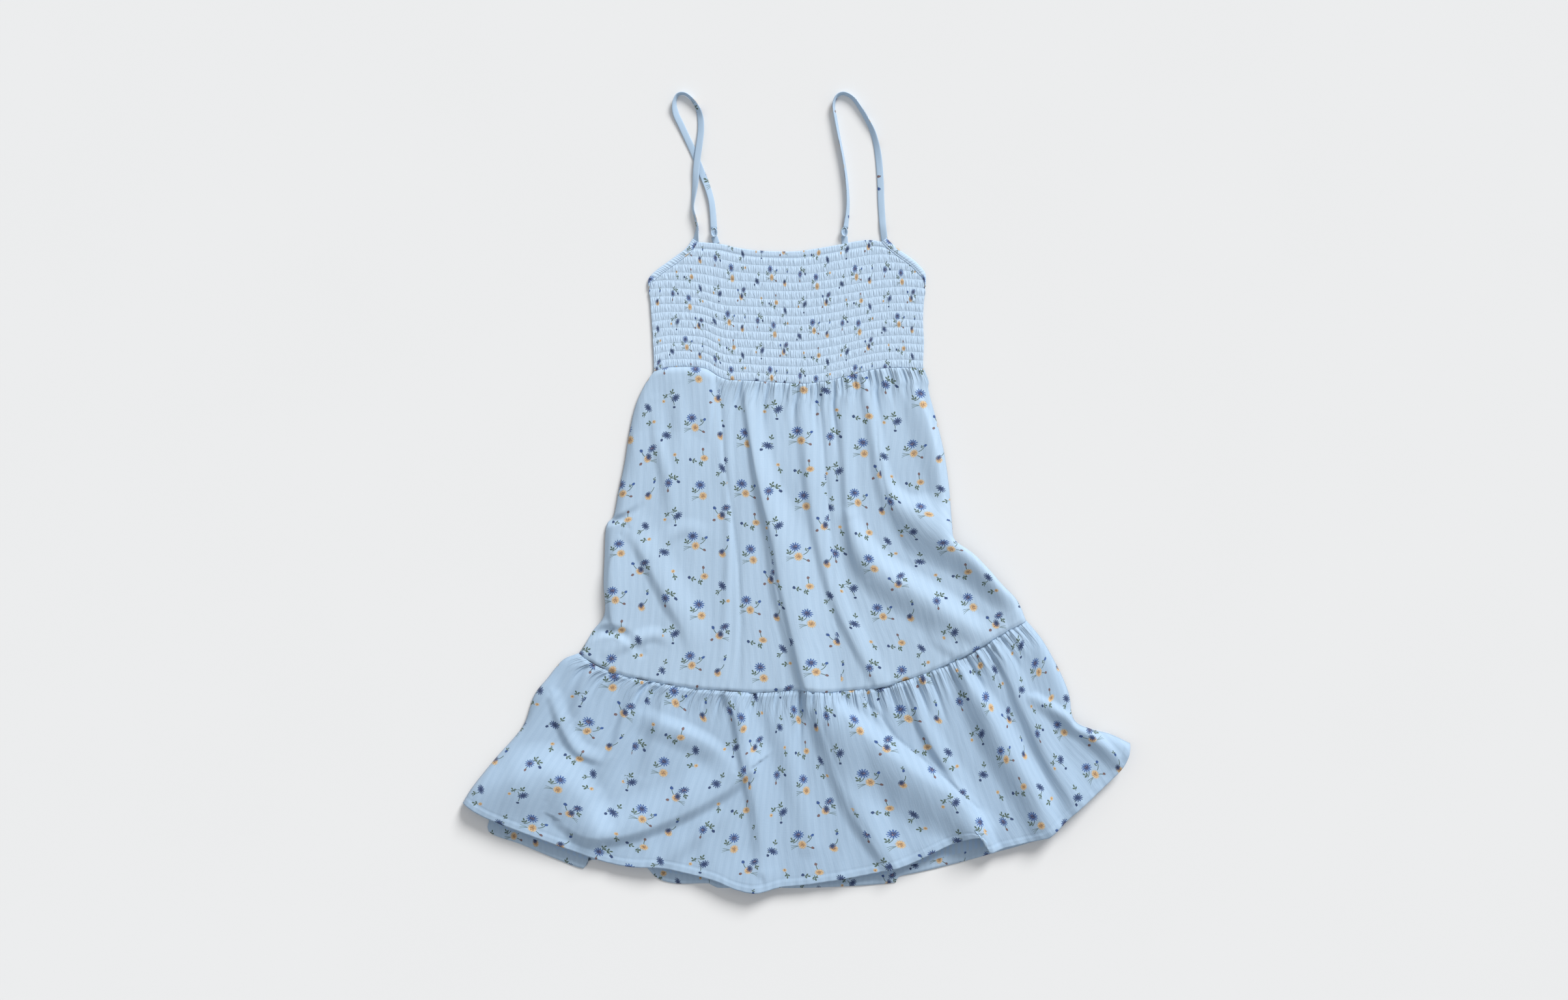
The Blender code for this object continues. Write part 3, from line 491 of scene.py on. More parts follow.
def panel(top, bottom, left, right, downs):
    """Plan of a panel from points along its four edges; downs are its rows' shares of the way down."""
    u = np.linspace(0, 1, len(top))[None, :, None]
    v = downs[:, None, None]
    between = (1 - v) * top[None] + v * bottom[None] + (1 - u) * left[:, None] + u * right[:, None]
    upper = (1 - u) * top[0] + u * top[-1]
    lower = (1 - u) * bottom[0] + u * bottom[-1]
    return between - (1 - v) * upper - v * lower


def bump(distance):
    """1 at the middle of a fold, falling smoothly to 0 at a distance of 1."""
    return (1 + np.cos(np.pi * np.clip(np.abs(distance), 0, 1))) / 2


def rise(distance, width):
    """A round edge: 0 at the edge, 1 from one width inside it."""
    inside = np.clip(distance / width, 0, 1)
    return np.sqrt(1 - (1 - inside) ** 2)


def ease(value):
    """A smooth step from 0 to 1."""
    t = np.clip(value, 0, 1)
    return t * t * (3 - 2 * t)


def side_distance(plan):
    """How far each point of a plan lies from the nearer side edge."""
    to_left = np.linalg.norm(plan - plan[:, :1], axis=2)
    to_right = np.linalg.norm(plan - plan[:, -1:], axis=2)
    return np.minimum(to_left, to_right)


def settle(height):
    """Heights pressed smoothly against the layer underneath, so that none goes through it."""
    return (height + np.sqrt(height**2 + 1)) / 2


def at_height(plan, z):
    """Points over a plan, all at one height or each at its own."""
    return np.concatenate([plan, np.broadcast_to(z, plan.shape[:2])[..., None]], axis=2)


def joined(line, first, last):
    """A line with its two ends moved to given points."""
    return (first,) + tuple(line[1:-1]) + (last,)


def moved(points, dy):
    return tuple((x, y + dy) for x, y in points)


def inset_lines(line, distance):
    """A side line moved in towards the middle of the dress."""
    return tuple((x - math.copysign(distance, x), y) for x, y in line)


def tier_plan(top, bottom, left, right, grid):
    """Plan of one tier of the skirt, between lines that are given as tables."""
    columns, rows = grid
    u, v = np.linspace(0, 1, columns), np.linspace(0, 1, rows)
    edges = [smooth_line(line) for line in (top, bottom, left, right)]
    return panel(along(edges[0], u), along(edges[1], u), along(edges[2], v), along(edges[3], v), v)


def row_table(rows, y, column):
    """A column of a table at heights between its rows, whose first entry is y and falls."""
    falling = np.array(rows, float)[::-1]
    return np.interp(y, falling[:, 0], falling[:, column])


def thin_plate(points, values, places):
    """Values at charted points spread smoothly over other places."""
    points, values = np.array(points, float), np.array(values, float)
    count = len(points)

    def kernel(gap):
        square = (gap**2).sum(axis=-1) + 1e-6
        return square * np.log(square) / 2

    system = np.zeros((count + 3, count + 3))
    system[:count, :count] = kernel(points[:, None] - points[None])
    system[:count, count] = system[count, :count] = 1
    system[:count, count + 1:] = points
    system[count + 1:, :count] = points.T
    known = np.zeros((count + 3, values.shape[1]))
    known[:count] = values
    weights = np.linalg.solve(system, known)
    flat = places.reshape(-1, 2)
    spread = kernel(flat[:, None] - points[None]) @ weights[:count]
    return (spread + weights[count] + flat @ weights[count + 1:]).reshape(*places.shape[:-1], -1)


def hidden_cloth(places, tucks, middles=None):
    """How much cloth the folds hide between the left of the dress and each place."""
    middles = places if middles is None else middles
    hidden = np.zeros(places.shape[:-1])
    for _, rows in tucks:
        beyond = middles[..., 0] > row_table(rows, middles[..., 1], 1)
        hidden = hidden + row_table(rows, places[..., 1], 2) * beyond
    return hidden


def grain(plan, chart, tucks):
    """Each place's position on the cloth before it was gathered, but for what the folds hide."""
    chart = np.array(chart, float)
    straight = np.stack([chart[:, 0] + hidden_cloth(chart[:, :2], tucks), -chart[:, 1]], axis=1)
    return plan * (1, -1) + thin_plate(chart[:, :2], chart[:, 2:] - straight, plan)


def finished_piece(mesh, name, finishes):
    """The object that a mesh makes, smooth and with its finishes."""
    data = bpy.data.meshes.new(name)
    mesh.to_mesh(data)
    mesh.free()
    data.shade_smooth()
    for finish in finishes:
        data.materials.append(finish)
    piece = bpy.data.objects.new(name, data)
    bpy.context.scene.collection.objects.link(piece)
    return piece


def cloth_panel(name, outer, cloth, thick, finishes, more_maps=None, plan=None, tucks=()):
    """A thin panel of cloth through outer points, in rows from the top, thickened downwards. Its underside
    takes the second finish. The cloth map is made in metres, more_maps stay in their own units."""
    rows, columns = outer.shape[:2]
    mesh = bmesh.new()
    bmesh.ops.create_grid(mesh, x_segments=columns - 1, y_segments=rows - 1, size=1)
    places = outer[::-1].reshape(-1, 3) * TO_METRES
    maps = {"cloth": cloth * TO_METRES, **(more_maps or {})}
    for index, point in enumerate(mesh.verts):
        point.co = places[index]
    mesh.verts.index_update()
    corners = np.array([[corner.vert.index for corner in face.loops] for face in mesh.faces])
    for label, weave in maps.items():
        layer = mesh.loops.layers.uv.new(label)
        weave = weave[::-1].reshape(-1, 2)[corners]
        if tucks and label == "cloth":
            spots = plan[::-1].reshape(-1, 2)[corners]
            weave[..., 0] += TO_METRES * hidden_cloth(spots, tucks, spots.mean(axis=1, keepdims=True))
        for face, values in zip(mesh.faces, weave):
            for corner, value in zip(face.loops, values):
                corner[layer].uv = value
    mesh.normal_update()
    if sum(face.normal.z for face in mesh.faces) < 0:
        bmesh.ops.reverse_faces(mesh, faces=list(mesh.faces))
    piece = finished_piece(mesh, name, finishes)
    shell = piece.modifiers.new("thickness", "SOLIDIFY")
    shell.thickness = thick * TO_METRES
    shell.offset = -1
    shell.material_offset = 1
    return piece


# The back of the skirt. Two panels of the same cloth, skirt and ruffle, lie face down on the surface, so that
# their plain inside is up. Only their hem shows, a little below the front's, where it is turned up.
BACK_TOP = 1.2
BACK_GRID = (150, 60)
BACK_WALL = 0.9
BACK_HEM_ROWS = 3
BACK_TURN = 0.25
BACK_CLEARANCE = 0.02
BACK_FULLNESS = 1.25


def back_tier(name, top, bottom, left, right, finishes):
    left, right = inset_lines(left, BACK_INSET), inset_lines(right, BACK_INSET)
    top = joined(top, (left[0][0], top[0][1]), (right[0][0], top[-1][1]))
    bottom = joined(bottom, (left[-1][0], bottom[0][1]), (right[-1][0], bottom[-1][1]))
    plan = tier_plan(top, bottom, joined(left, top[0], bottom[0]), joined(right, top[-1], bottom[-1]),
                     BACK_GRID)
    x, y = plan[..., 0], plan[..., 1]
    relief = 0.16 * np.sin(x / 9 + 0.8 * np.sin(y / 37)) + 0.1 * np.sin(x / 4.3 + y / 50)
    relief += BACK_TURN * (np.arange(BACK_GRID[1])[:, None] >= BACK_GRID[1] - 1 - BACK_HEM_ROWS)
    cloth = np.stack([x * BACK_FULLNESS, -y], axis=-1)
    return cloth_panel(name, at_height(plan, BACK_TOP + relief - BACK_CLEARANCE), cloth, BACK_WALL, finishes)


half_gap = SEAM_GAP / 2
above_seam = moved(TIER_SEAM, half_gap)
below_seam = moved(TIER_SEAM, -half_gap)
print_finish = cotton("printed_cotton")
inside_finish = cotton("cotton_inside", printed=False, stripe=1.2, light=INSIDE_LIGHT, shade=INSIDE_SHADE)
skirt_back = back_tier("skirt_back_panel", moved(WAIST, -SEAM_GAP), above_seam, SKIRT_LEFT, SKIRT_RIGHT,
                       [inside_finish, print_finish])
ruffle_back = back_tier("ruffle_back_panel", below_seam, BACK_HEM, RUFFLE_LEFT, RUFFLE_RIGHT,
                        [inside_finish, print_finish, print_finish])
for face in ruffle_back.data.polygons[:BACK_HEM_ROWS * (BACK_GRID[0] - 1)]:
    face.material_index = 1
for piece, node, size, area in ((skirt_back, "skirt_back", (0.52, 0.345), 0.135),
                                (ruffle_back, "ruffle_back", (0.80, 0.21), 0.125)):
    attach(piece, "root")
    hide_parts(node)

# The bodice. Front and back are shirred with rows of elastic thread, about nine millimetres apart, that draw
# the cloth up into fine puckers. The top edge is turned down as a plain gathered casing.
CASING_DEPTH = 7.5
ROW_PITCH = 9.1
ROWS = 15
ROW_RAISE = 0.22
PUCKER_RAISE = 0.26
CASING_GROOVE = 0.6
SIDE_ROLL = 8.0
BODICE_FULLNESS = 2.09
BODICE_LENGTHEN = 1.16
BODICE_GRID = (401, 111)
BODICE_BACK_GRID = (150, 76)
BODICE_WALL = 0.8
BODICE_LIFT = 0.9
BODICE_ROLL = 0.5
BODICE_BACK_DROP = 0.1
BODICE_BACK_RELIEF = 0.12
# The bodice is the skirt's own cloth, but these colours are lighter: painted light, making up for the shade
# that the puckers' relief gives it.
SHIRRED_PAINTED_LIGHT_PALE = (0.560, 0.715, 0.880)
SHIRRED_PAINTED_LIGHT_DEEP = (0.505, 0.655, 0.825)
SHIRRED_WEAVE_HEIGHT = 0.0005
BINDING_WIDTH = 6.0
BINDING_TAPER_FROM = 0.78
BINDING_TAPER_TO = 0.15
BINDING_GAP = 0.3


def inside_armhole(armhole, turn, share_of_width, gap):
    """A line inside an armhole's edge, at a share of the binding's width. That narrows at the side seam."""
    line = smooth_line(armhole)
    taper = ease((np.linspace(0, 1, len(line)) - BINDING_TAPER_FROM) / (1 - BINDING_TAPER_FROM))
    width = BINDING_WIDTH * (1 - (1 - BINDING_TAPER_TO) * taper)
    return offset(line, turn * (width * share_of_width + gap))


def bodice_edge(armhole, side, turn):
    """Side edge of the bodice: inside the bound armhole, then down the side seam."""
    inside = inside_armhole(armhole, turn, 1, BINDING_GAP)
    return np.vstack([inside, smooth_line(side)])


def bodice_plan(columns, downs, inset):
    """Plan of a bodice panel, set in from the front's outline; downs are its rows' shares of the way."""
    left = bodice_edge(ARMHOLE_LEFT, SIDE_LEFT, 1)
    right = bodice_edge(ARMHOLE_RIGHT, SIDE_RIGHT, -1)
    top = smooth_line((tuple(left[0]),) + NECKLINE[1:-1] + (tuple(right[0]),))
    bottom = smooth_line(WAIST) + (0, SEAM_GAP)
    left[-1] = bottom[0]
    right[-1] = bottom[-1]
    u = np.linspace(0, 1, columns)
    plan = panel(along(top, u), along(bottom, u), down(left, downs), down(right, downs), downs)
    middle = plan.mean(axis=(0, 1))
    extent = np.abs(plan - middle).max(axis=(0, 1))
    return middle + (plan - middle) * (1 - inset / extent)


def shirring(plan, depth, seed):
    """Raised height of the casing, the shirred rows and their puckers."""
    row = (depth - CASING_DEPTH) / ROW_PITCH
    number = np.clip(np.floor(row), -1, ROWS).astype(int) + 1
    along_row = plan[..., 0]
    puckers = np.zeros(plan.shape[:2])
    random = np.random.RandomState(seed)
    for pitch, weight in ((5.6, 0.5), (7.9, 0.3), (13.0, 0.2)):
        phase, sway = random.uniform(0, 2 * np.pi, (2, ROWS + 2))
        wander = 1.3 * np.sin(along_row / 9.7 + sway[number])
        puckers += weight * np.sin(2 * np.pi * along_row / pitch + phase[number] + wander)
    within = np.abs(np.sin(np.pi * row)) ** 0.8
    casing_share = np.clip(depth / CASING_DEPTH, 0.1, 1)
    within = np.where(row < 0, np.sin(np.pi * casing_share) ** 0.7, within)
    pucker_size = np.where(row < 0, 0.45, 1.0) * PUCKER_RAISE
    return within * (ROW_RAISE + pucker_size * puckers) - CASING_GROOVE * bump((depth - CASING_DEPTH) / 2.4)


def bodice_cloth(plan, depth):
    """Position on the cloth of the bodice, about twice as wide as it lies when it is drawn up."""
    x = plan[..., 0]
    sag = 12.5 * ease((x + 118) / 42)
    return np.stack([(x + 118.3) * BODICE_FULLNESS, (depth - 6.5) * BODICE_LENGTHEN - sag], axis=-1)


def row_map(plan, depth):
    """Millimetres along the rows and the number of the row, for the puckers of the finish."""
    return {"rows": np.stack([plan[..., 0], (depth - CASING_DEPTH) / ROW_PITCH], axis=-1)}


def bodice_depth(columns, rows):
    """How far below the top edge of the bodice each point lies on the drawn-up cloth."""
    return np.linspace(0, CASING_DEPTH + ROWS * ROW_PITCH, rows)[:, None] + np.zeros((1, columns))


# The shirred finish has painted light: lighter colours than the skirt's, though it is the same cloth.
shirred_painted_light_finish = cotton("shirred_cotton_painted_light", stripe=0.25, light=SHIRRED_PAINTED_LIGHT_PALE, shade=SHIRRED_PAINTED_LIGHT_DEEP,
                        crease=SHIRRED_WEAVE_HEIGHT, puckers=(shirred_puckers, "rows", PUCKER_HEIGHT))
plan = bodice_plan(BODICE_GRID[0], np.linspace(0, 1, BODICE_GRID[1]), 0)
depth = bodice_depth(*BODICE_GRID)
edge = rise(side_distance(plan) + 1, SIDE_ROLL)
top = FRONT_UNDER + BODICE_LIFT + (BODICE_ROLL + shirring(plan, depth, 4)) * edge
bodice_front = cloth_panel("bodice_front_panel", at_height(plan, top), bodice_cloth(plan, depth), BODICE_WALL,
                           [shirred_painted_light_finish, inside_finish], row_map(plan, depth))
plan = bodice_plan(BODICE_BACK_GRID[0], np.linspace(0, 1, BODICE_BACK_GRID[1]), BACK_INSET)
depth = bodice_depth(*BODICE_BACK_GRID)
top = BACK_TOP - BODICE_BACK_DROP + BODICE_BACK_RELIEF * shirring(plan, depth, 9)
bodice_back = cloth_panel("bodice_back_panel", at_height(plan, top), bodice_cloth(plan, depth), BODICE_WALL,
                          [inside_finish, shirred_painted_light_finish], row_map(plan, depth))
for piece, node in ((bodice_front, "bodice_front"), (bodice_back, "bodice_back")):
    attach(piece, "root")
    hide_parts(node)

# The armholes of the front are bound with a folded strip of the same cotton, stitched down just inside its
# edge. It rolls softly and runs out in the side seam.
BINDING_GRID = (13, 121)
BINDING_REACH = 1.12
BINDING_LIFT = 1.0
BINDING_ROLL = 1.4
BINDING_WALL = 0.9
STITCH_AT = 0.8
STITCH_GROOVE = 0.45

# The binding takes the bodice's lighter colours: painted light, brightening it where it slopes away from the
# light.
binding_painted_light_finish = cotton("bound_edge_cotton_painted_light", stripe=0.2, light=SHIRRED_PAINTED_LIGHT_PALE, shade=SHIRRED_PAINTED_LIGHT_DEEP)
for side, armhole, turn in (("left", ARMHOLE_LEFT, 1), ("right", ARMHOLE_RIGHT, -1)):
    shares = np.linspace(0, 1, BINDING_GRID[1])
    widths = np.linspace(0, BINDING_REACH, BINDING_GRID[0])
    plan = np.stack([along(inside_armhole(armhole, turn, share, 0), shares) for share in widths], axis=1)
    if turn < 0:
        plan = plan[:, ::-1]
    across = np.linspace(0, 1, BINDING_GRID[0])[None, :]
    ripple = 0.24 * np.sin(shares[:, None] * 150 + 3 * np.sin(shares[:, None] * 19))
    inwards = across if turn > 0 else 1 - across
    crown = np.sin(np.pi * (0.05 + 0.84 * inwards)) ** 0.6
    stitched = bump((across - (STITCH_AT if turn > 0 else 1 - STITCH_AT)) / 0.16)
    top = FRONT_UNDER + BINDING_LIFT + crown * (BINDING_ROLL + ripple) - STITCH_GROOVE * stitched
    cloth = np.stack(np.broadcast_arrays(-6 + across * 12, 60 + shares[:, None] * 70), axis=-1)
    piece = cloth_panel(f"armhole_binding_{side}", at_height(plan, top), cloth, BINDING_WALL,
                        [binding_painted_light_finish] * 2)
    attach(piece, "root")
    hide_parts(f"binding_{side}")

# The front of the skirt. A straight panel is gathered into the waist seam, puffs a little over the bodice
# at the left, and lies in soft folds: a long lip down the middle, pleats at the right and a drape out to
# the side.
LOFT = 8.0
EDGE_ROLL = 15.0
WAIST_ROLL = 110.0
SEAM_ROLL = 6.0
FOLDS_FROM = 20.0
OVERHANG_TO = -84.0
OVERHANG_LOFT = 6.5
OVERHANG_ROLL = 9.0
OVERHANG_FADE = 90.0
WAIST_HELD = 0.32
WAVE_SIZE = 0.35
RUCHE_AT_WAIST = 16
SEAM_DIP = 2.2
SEAM_OVERLAP = 0.9
SEAM_DIP_WIDTH = 4.5
TUCK_DEPTH = 0.045
GATHER_DEPTH = 1.7
RUCHE_HEIGHT = 0.55
FRONT_WALL = 0.6
SKIRT_GRID = (251, 180)
SKIRT_CREASES = (
    # height, then its width to the left and right, its lean, and its route:
    # x, y, share of the height and of the widths
    # the long lip down the middle
    (8.5, 20, 44, -3, (
        (-56, 117, 0.25, 0.4), (-50, 74, 0.6, 0.4), (-38, 10, 0.9, 0.5), (-21, -52, 1, 0.8),
        (-12, -102, 1, 1), (-1, -144, 1, 1), (10, -192, 1, 0.8), (20, -226, 0.9, 0.7))),
    # soft pleats between the lip and the drape
    (4, 10, 20, 0, (
        (5, 108, 0.3, 1), (8, 66, 0.8, 1), (15, -4, 1, 1), (27, -66, 1, 1),
        (41, -115, 1, 1), (59, -154, 1, 1), (82, -196, 0.7, 1), (97, -220, 0.3, 1))),
    (4, 8, 16, 0, (
        (48, 114, 0.4, 1), (52, 38, 0.8, 1), (55, -24, 1, 1), (62, -66, 0.8, 1),
        (75, -94, 0.1, 1))),
    (9.5, 32, 24, 0, (
        (58, -31, 0.2, 0.6), (74, -65, 0.8, 0.8), (93, -88, 1, 1), (124, -107, 1, 1),
        (155, -127, 1, 1), (186, -148, 0.7, 0.9), (208, -167, 0.1, 1))),
    # the drape out to the side
    (12, 27, 30, 2, (
        (76, 118, 0.25, 0.4), (80, 80, 0.3, 0.4), (85, 46, 0.36, 0.4), (94, 7, 0.4, 0.5),
        (110, -18, 0.7, 0.8), (132, -34, 1, 1.3), (162, -54, 1, 1.2), (190, -75, 1, 1),
        (218, -102, 0.8, 0.9), (237, -122, 0.2, 0.8))),
    (3, 12, 18, 0, ((138, -144, 0.1, 1), (159, -164, 0.8, 1), (194, -186, 1, 1), (225, -214, 0.3, 1))),
    # at the left
    (4.6, 12, 30, 0, (
        (-174, -46, 0.3, 1), (-163, -66, 0.9, 1), (-150, -91, 1, 1), (-135, -119, 1, 1),
        (-120, -145, 0.6, 1), (-110, -172, 0.1, 1))),
    (4, 5, 40, 0, ((-190, -52, 0.3, 0.6), (-200, -82, 1, 1), (-202, -115, 1, 1), (-197, -142, 0.5, 0.6))),
    (2.4, 14, 14, 0, ((-128, 114, 0.3, 1), (-125, 74, 1, 1), (-128, 38, 0.8, 1), (-132, -10, 0.2, 1))),
    (2.6, 10, 12, 0, ((-150, 94, 0.2, 1), (-148, 52, 1, 1), (-139, 10, 0.8, 1), (-135, -24, 0.2, 1))),
    (1.8, 7, 8, 0, ((-74, 80, 0.2, 1), (-73, -4, 1, 1), (-74, -102, 1, 1), (-78, -172, 0.3, 1))),
    (-3.5, 6, 6, 0, ((-205, -34, 1, 1), (-186, -28, 1, 1), (-167, -16, 0.1, 1))),
    (-4.5, 8, 9, 0, ((-226, -156, 1, 1), (-205, -149, 1, 1), (-184, -154, 0.6, 1), (-167, -172, 0.2, 1))),
    (3, 10, 12, 0, ((-198, -172, 0.3, 1), (-176, -161, 1, 1), (-153, -154, 0.8, 1), (-135, -161, 0.1, 1))),
    (1.6, 12, 14, 0, ((-149, -66, 0.2, 1), (-134, -47, 1, 1), (-114, -40, 0.9, 1), (-92, -50, 0.1, 1))),
    (4.5, 26, 6, 0, (
        (125, 114, 0.3, 0.8), (139, 80, 1, 1), (150, 38, 1, 1), (157, -4, 0.6, 0.7),
        (160, -31, 0.1, 0.5))),
)
SKIRT_GRAIN = (
    # x, y, across, down
    (-186.9, 2.1, -95.2, 59.5), (-189.7, -60.2, -88.9, 129.5), (-194.6, -111.3, -95.2, 186.9),
    (-198.1, -184.1, -88.9, 256.9), (-107.1, 126.7, 6.3, -57.4), (-109.9, 73.5, 0, 0),
    (-102.2, 2.1, 6.3, 70), (-109.2, -53.2, 0, 127.4), (-103.6, -126, 6.3, 197.4),
    (-112.7, -181.3, 0, 254.8), (-53.9, 58.1, 101.5, 10.5), (-56, 2.8, 95.2, 67.9),
    (-48.3, -66.5, 101.5, 137.9), (-51.1, -121.8, 95.2, 195.3), (-37.8, -193.2, 101.5, 265.3),
    (4.9, 115.5, 196.7, -49), (3.5, 59.5, 190.4, 8.4), (8.4, -9.1, 196.7, 78.4),
    (2.1, -64.4, 190.4, 135.8), (14.7, -134.4, 196.7, 205.8), (21, -187.6, 190.4, 263.2),
    (62.3, 119, 285.6, -51.1), (71.4, 47.6, 291.9, 18.9), (64.4, -7, 285.6, 76.3),
    (79.1, -76.3, 291.9, 146.3), (90.3, -129.5, 285.6, 203.7), (114.1, -196, 291.9, 273.7),
    (133.7, 100.1, 387.1, -40.6), (125.3, 45.5, 380.8, 16.8), (134.4, -21, 387.1, 86.8),
    (160.3, -59.5, 380.8, 144.2), (185.5, -117.6, 387.1, 214.2),
)
SKIRT_TUCKS = (
    # width, then y, x and the cloth that it hides
    (21, (
        (108.5, -147.7, 11.2), (38.5, -147.7, 14), (-31.5, -149.1, 9.8), (-101.5, -145.6, 9.8),
        (-171.5, -142.1, 2.8))),
    (9.8, (
        (115.5, -82.6, 43.4), (38.5, -77.7, 42), (-24.5, -69.3, 40.6), (-80.5, -62.3, 37.8),
        (-143.5, -59.5, 35), (-206.5, -61.6, 21))),
    (8.4, (
        (122.5, -60.2, 36.4), (52.5, -49.7, 35), (-3.5, -38.5, 36.4), (-66.5, -25.9, 35),
        (-122.5, -14, 35), (-227.5, 9.1, 30.8))),
    (9.1, (
        (122.5, 22.4, 32.2), (45.5, 29.4, 32.2), (7, 32.2, 32.2), (-66.5, 38.5, 25.2),
        (-122.5, 39.2, 14), (-171.5, 48.3, 7))),
    (9.8, (
        (122.5, 81.9, 33.6), (45.5, 86.1, 33.6), (21, 89.6, 32.2), (-21, 98.7, 21), (-66.5, 116.9, 7),
        (-122.5, 137.9, 1.4))),
)
WAIST_GATHERS = (
    # x at the seam, half_width, height, length
    (-58, 2.6, -1.9, 46), (-49, 3.0, 1.4, 40), (-40, 2.2, -1.5, 34), (-30, 2.8, -2.0, 62),
    (-22, 3.0, 1.5, 44),
    (-14, 2.2, -1.5, 30), (-6, 2.6, 1.3, 52), (1, 2.4, -1.9, 58), (8, 2.6, 1.4, 36), (15, 2.0, -1.3, 28),
    (22, 2.6, -2.2, 66), (30, 2.8, 1.5, 48), (40, 2.4, -2.4, 88), (47, 2.2, -1.5, 40), (55, 3.0, 1.7, 46),
    (62, 2.2, -1.4, 34), (70, 2.4, 1.4, 52), (76, 2.4, -1.8, 44), (83, 2.8, -2.2, 72), (91, 2.8, 1.6, 40),
    (99, 2.2, -1.7, 50), (106, 2.4, 1.3, 34), (113, 2.2, -1.6, 42), (121, 2.6, 1.4, 36),
    (128, 2.0, -1.2, 30),
)


def charted_folds(plan, folds):
    """Height and sideways lean that a table of folds gives to each point of a plan."""
    height = np.zeros(plan.shape[:2])
    shift = np.zeros(plan.shape)
    for crest, left, right, lean, rows in folds:
        route = smooth_line(rows, 8)
        way = np.gradient(route[:, :2], axis=0)
        step = np.linalg.norm(way, axis=1)[:, None]
        way /= step
        side = np.stack([-way[:, 1], way[:, 0]], axis=1)
        gap = plan[:, :, None] - route[:, :2]
        nearest = np.argmin((gap**2).sum(axis=-1), axis=2)
        gap = np.take_along_axis(gap, nearest[..., None, None], axis=2)[:, :, 0]
        aside = (gap * side[nearest]).sum(axis=-1)
        on_way = (gap * way[nearest]).sum(axis=-1) / step[nearest, 0]
        past = np.maximum(np.abs(on_way) - 0.6, 0) * step[nearest, 0]
        order = nearest + np.clip(on_way, -0.5, 0.5)
        share, spread = (np.interp(order, np.arange(len(route)), route[:, column]) for column in (2, 3))
        width = np.where(aside > 0, right, left) * spread
        strength = bump(np.hypot(aside, past) / width) * share
        height += crest * strength
        shift += lean * strength[..., None] * side[nearest]
    return height, shift


def seam_gathers(plan, seam, gathers):
    """Height of short folds that hang from a gathered seam."""
    at_seam = seam[None, :, 0]
    drop = np.linalg.norm(plan - seam[None], axis=2)
    height = np.zeros(plan.shape[:2])
    for x, half_width, crest, length in gathers:
        spread = half_width * (1 + 0.9 * drop / length)
        fade = ease(1.05 - drop / length) * ease(drop / 5 + 0.35)
        height += GATHER_DEPTH * crest * bump((at_seam - x) / spread) * fade
    return height


def ruched_edge(plan, seam, length):
    """Height of the fine puckers right at a gathered seam."""
    x = seam[None, :, 0]
    drop = np.linalg.norm(plan - seam[None], axis=2)
    waves = np.abs(np.sin(x / 2.1 + 1.7 * np.sin(x / 11.3) + 0.9 * np.sin(x / 5.1)))
    return RUCHE_HEIGHT * (waves - 0.5) * ease(1.1 - drop / length)


def tuck_valleys(plan, tucks):
    """Depth of the folds that hide cloth, below the cloth around them."""
    x, y = plan[..., 0], plan[..., 1]
    height = np.zeros(plan.shape[:2])
    for width, rows in tucks:
        line, amount = row_table(rows, y, 1), row_table(rows, y, 2)
        height -= TUCK_DEPTH * amount * np.clip(1 - np.abs(x - line) / (0.7 * width), 0, 1) ** 2
    return height


def soft_waves(plan, seed, size):
    """Slight unevenness that a soft cloth keeps where it lies."""
    random = np.random.RandomState(seed)
    height = np.zeros(plan.shape[:2])
    for length in (70, 46, 30, 19):
        for _ in range(3):
            turn, phase = random.uniform(-0.5, 0.5), random.uniform(0, 2 * np.pi)
            across = plan[..., 0] * math.cos(turn) + plan[..., 1] * math.sin(turn)
            down_it = -plan[..., 0] * math.sin(turn) + plan[..., 1] * math.cos(turn)
            wave = np.sin(2 * np.pi * across / length + phase) * np.cos(down_it / length + phase)
            height += length / 70 * wave
    return size * height


def seam_map(plan, below):
    """Millimetres along and below a gathered seam, for the creases of the finish."""
    return {"seam": np.stack([plan[:1, :, 0] + 0 * below, below], axis=-1)}


waist_edge, tier_edge = moved(WAIST, SEAM_OVERLAP), moved(TIER_SEAM, -SEAM_OVERLAP / 2)
plan = tier_plan(waist_edge, tier_edge, joined(SKIRT_LEFT, waist_edge[0], tier_edge[0]),
                 joined(SKIRT_RIGHT, waist_edge[-1], tier_edge[-1]), SKIRT_GRID)
folds, lean = charted_folds(plan, SKIRT_CREASES)
height = LOFT * rise(side_distance(plan), EDGE_ROLL)
below_waist = np.linalg.norm(plan - plan[:1], axis=2)
flat_waist = ease(below_waist / WAIST_ROLL)
rolled = OVERHANG_LOFT / LOFT * rise(below_waist, OVERHANG_ROLL)
over_bodice = ease((OVERHANG_TO - plan[..., 0]) / OVERHANG_ROLL)
puffed = WAIST_HELD + (1 - WAIST_HELD) * flat_waist
height *= np.maximum(puffed * rise(below_waist + 0.6, SEAM_ROLL), rolled * over_bodice)
fold_share = np.maximum(ease(below_waist / FOLDS_FROM), over_bodice)
height += folds * fold_share + (tuck_valleys(plan, SKIRT_TUCKS) + soft_waves(plan, 3, WAVE_SIZE)) * fold_share
gathers = seam_gathers(plan, plan[0], WAIST_GATHERS) + ruched_edge(plan, plan[0], RUCHE_AT_WAIST)
height += gathers * (1 - over_bodice)
to_seam = np.linalg.norm(plan - plan[-1:], axis=2)
height += 0.35 * np.sin(plan[..., 0] / 1.9 + 2 * np.sin(plan[..., 0] / 13)) * ease(1 - to_seam / 16)
height -= SEAM_DIP * bump(to_seam / SEAM_DIP_WIDTH)
height *= rise(side_distance(plan) + 1, EDGE_ROLL / 2)
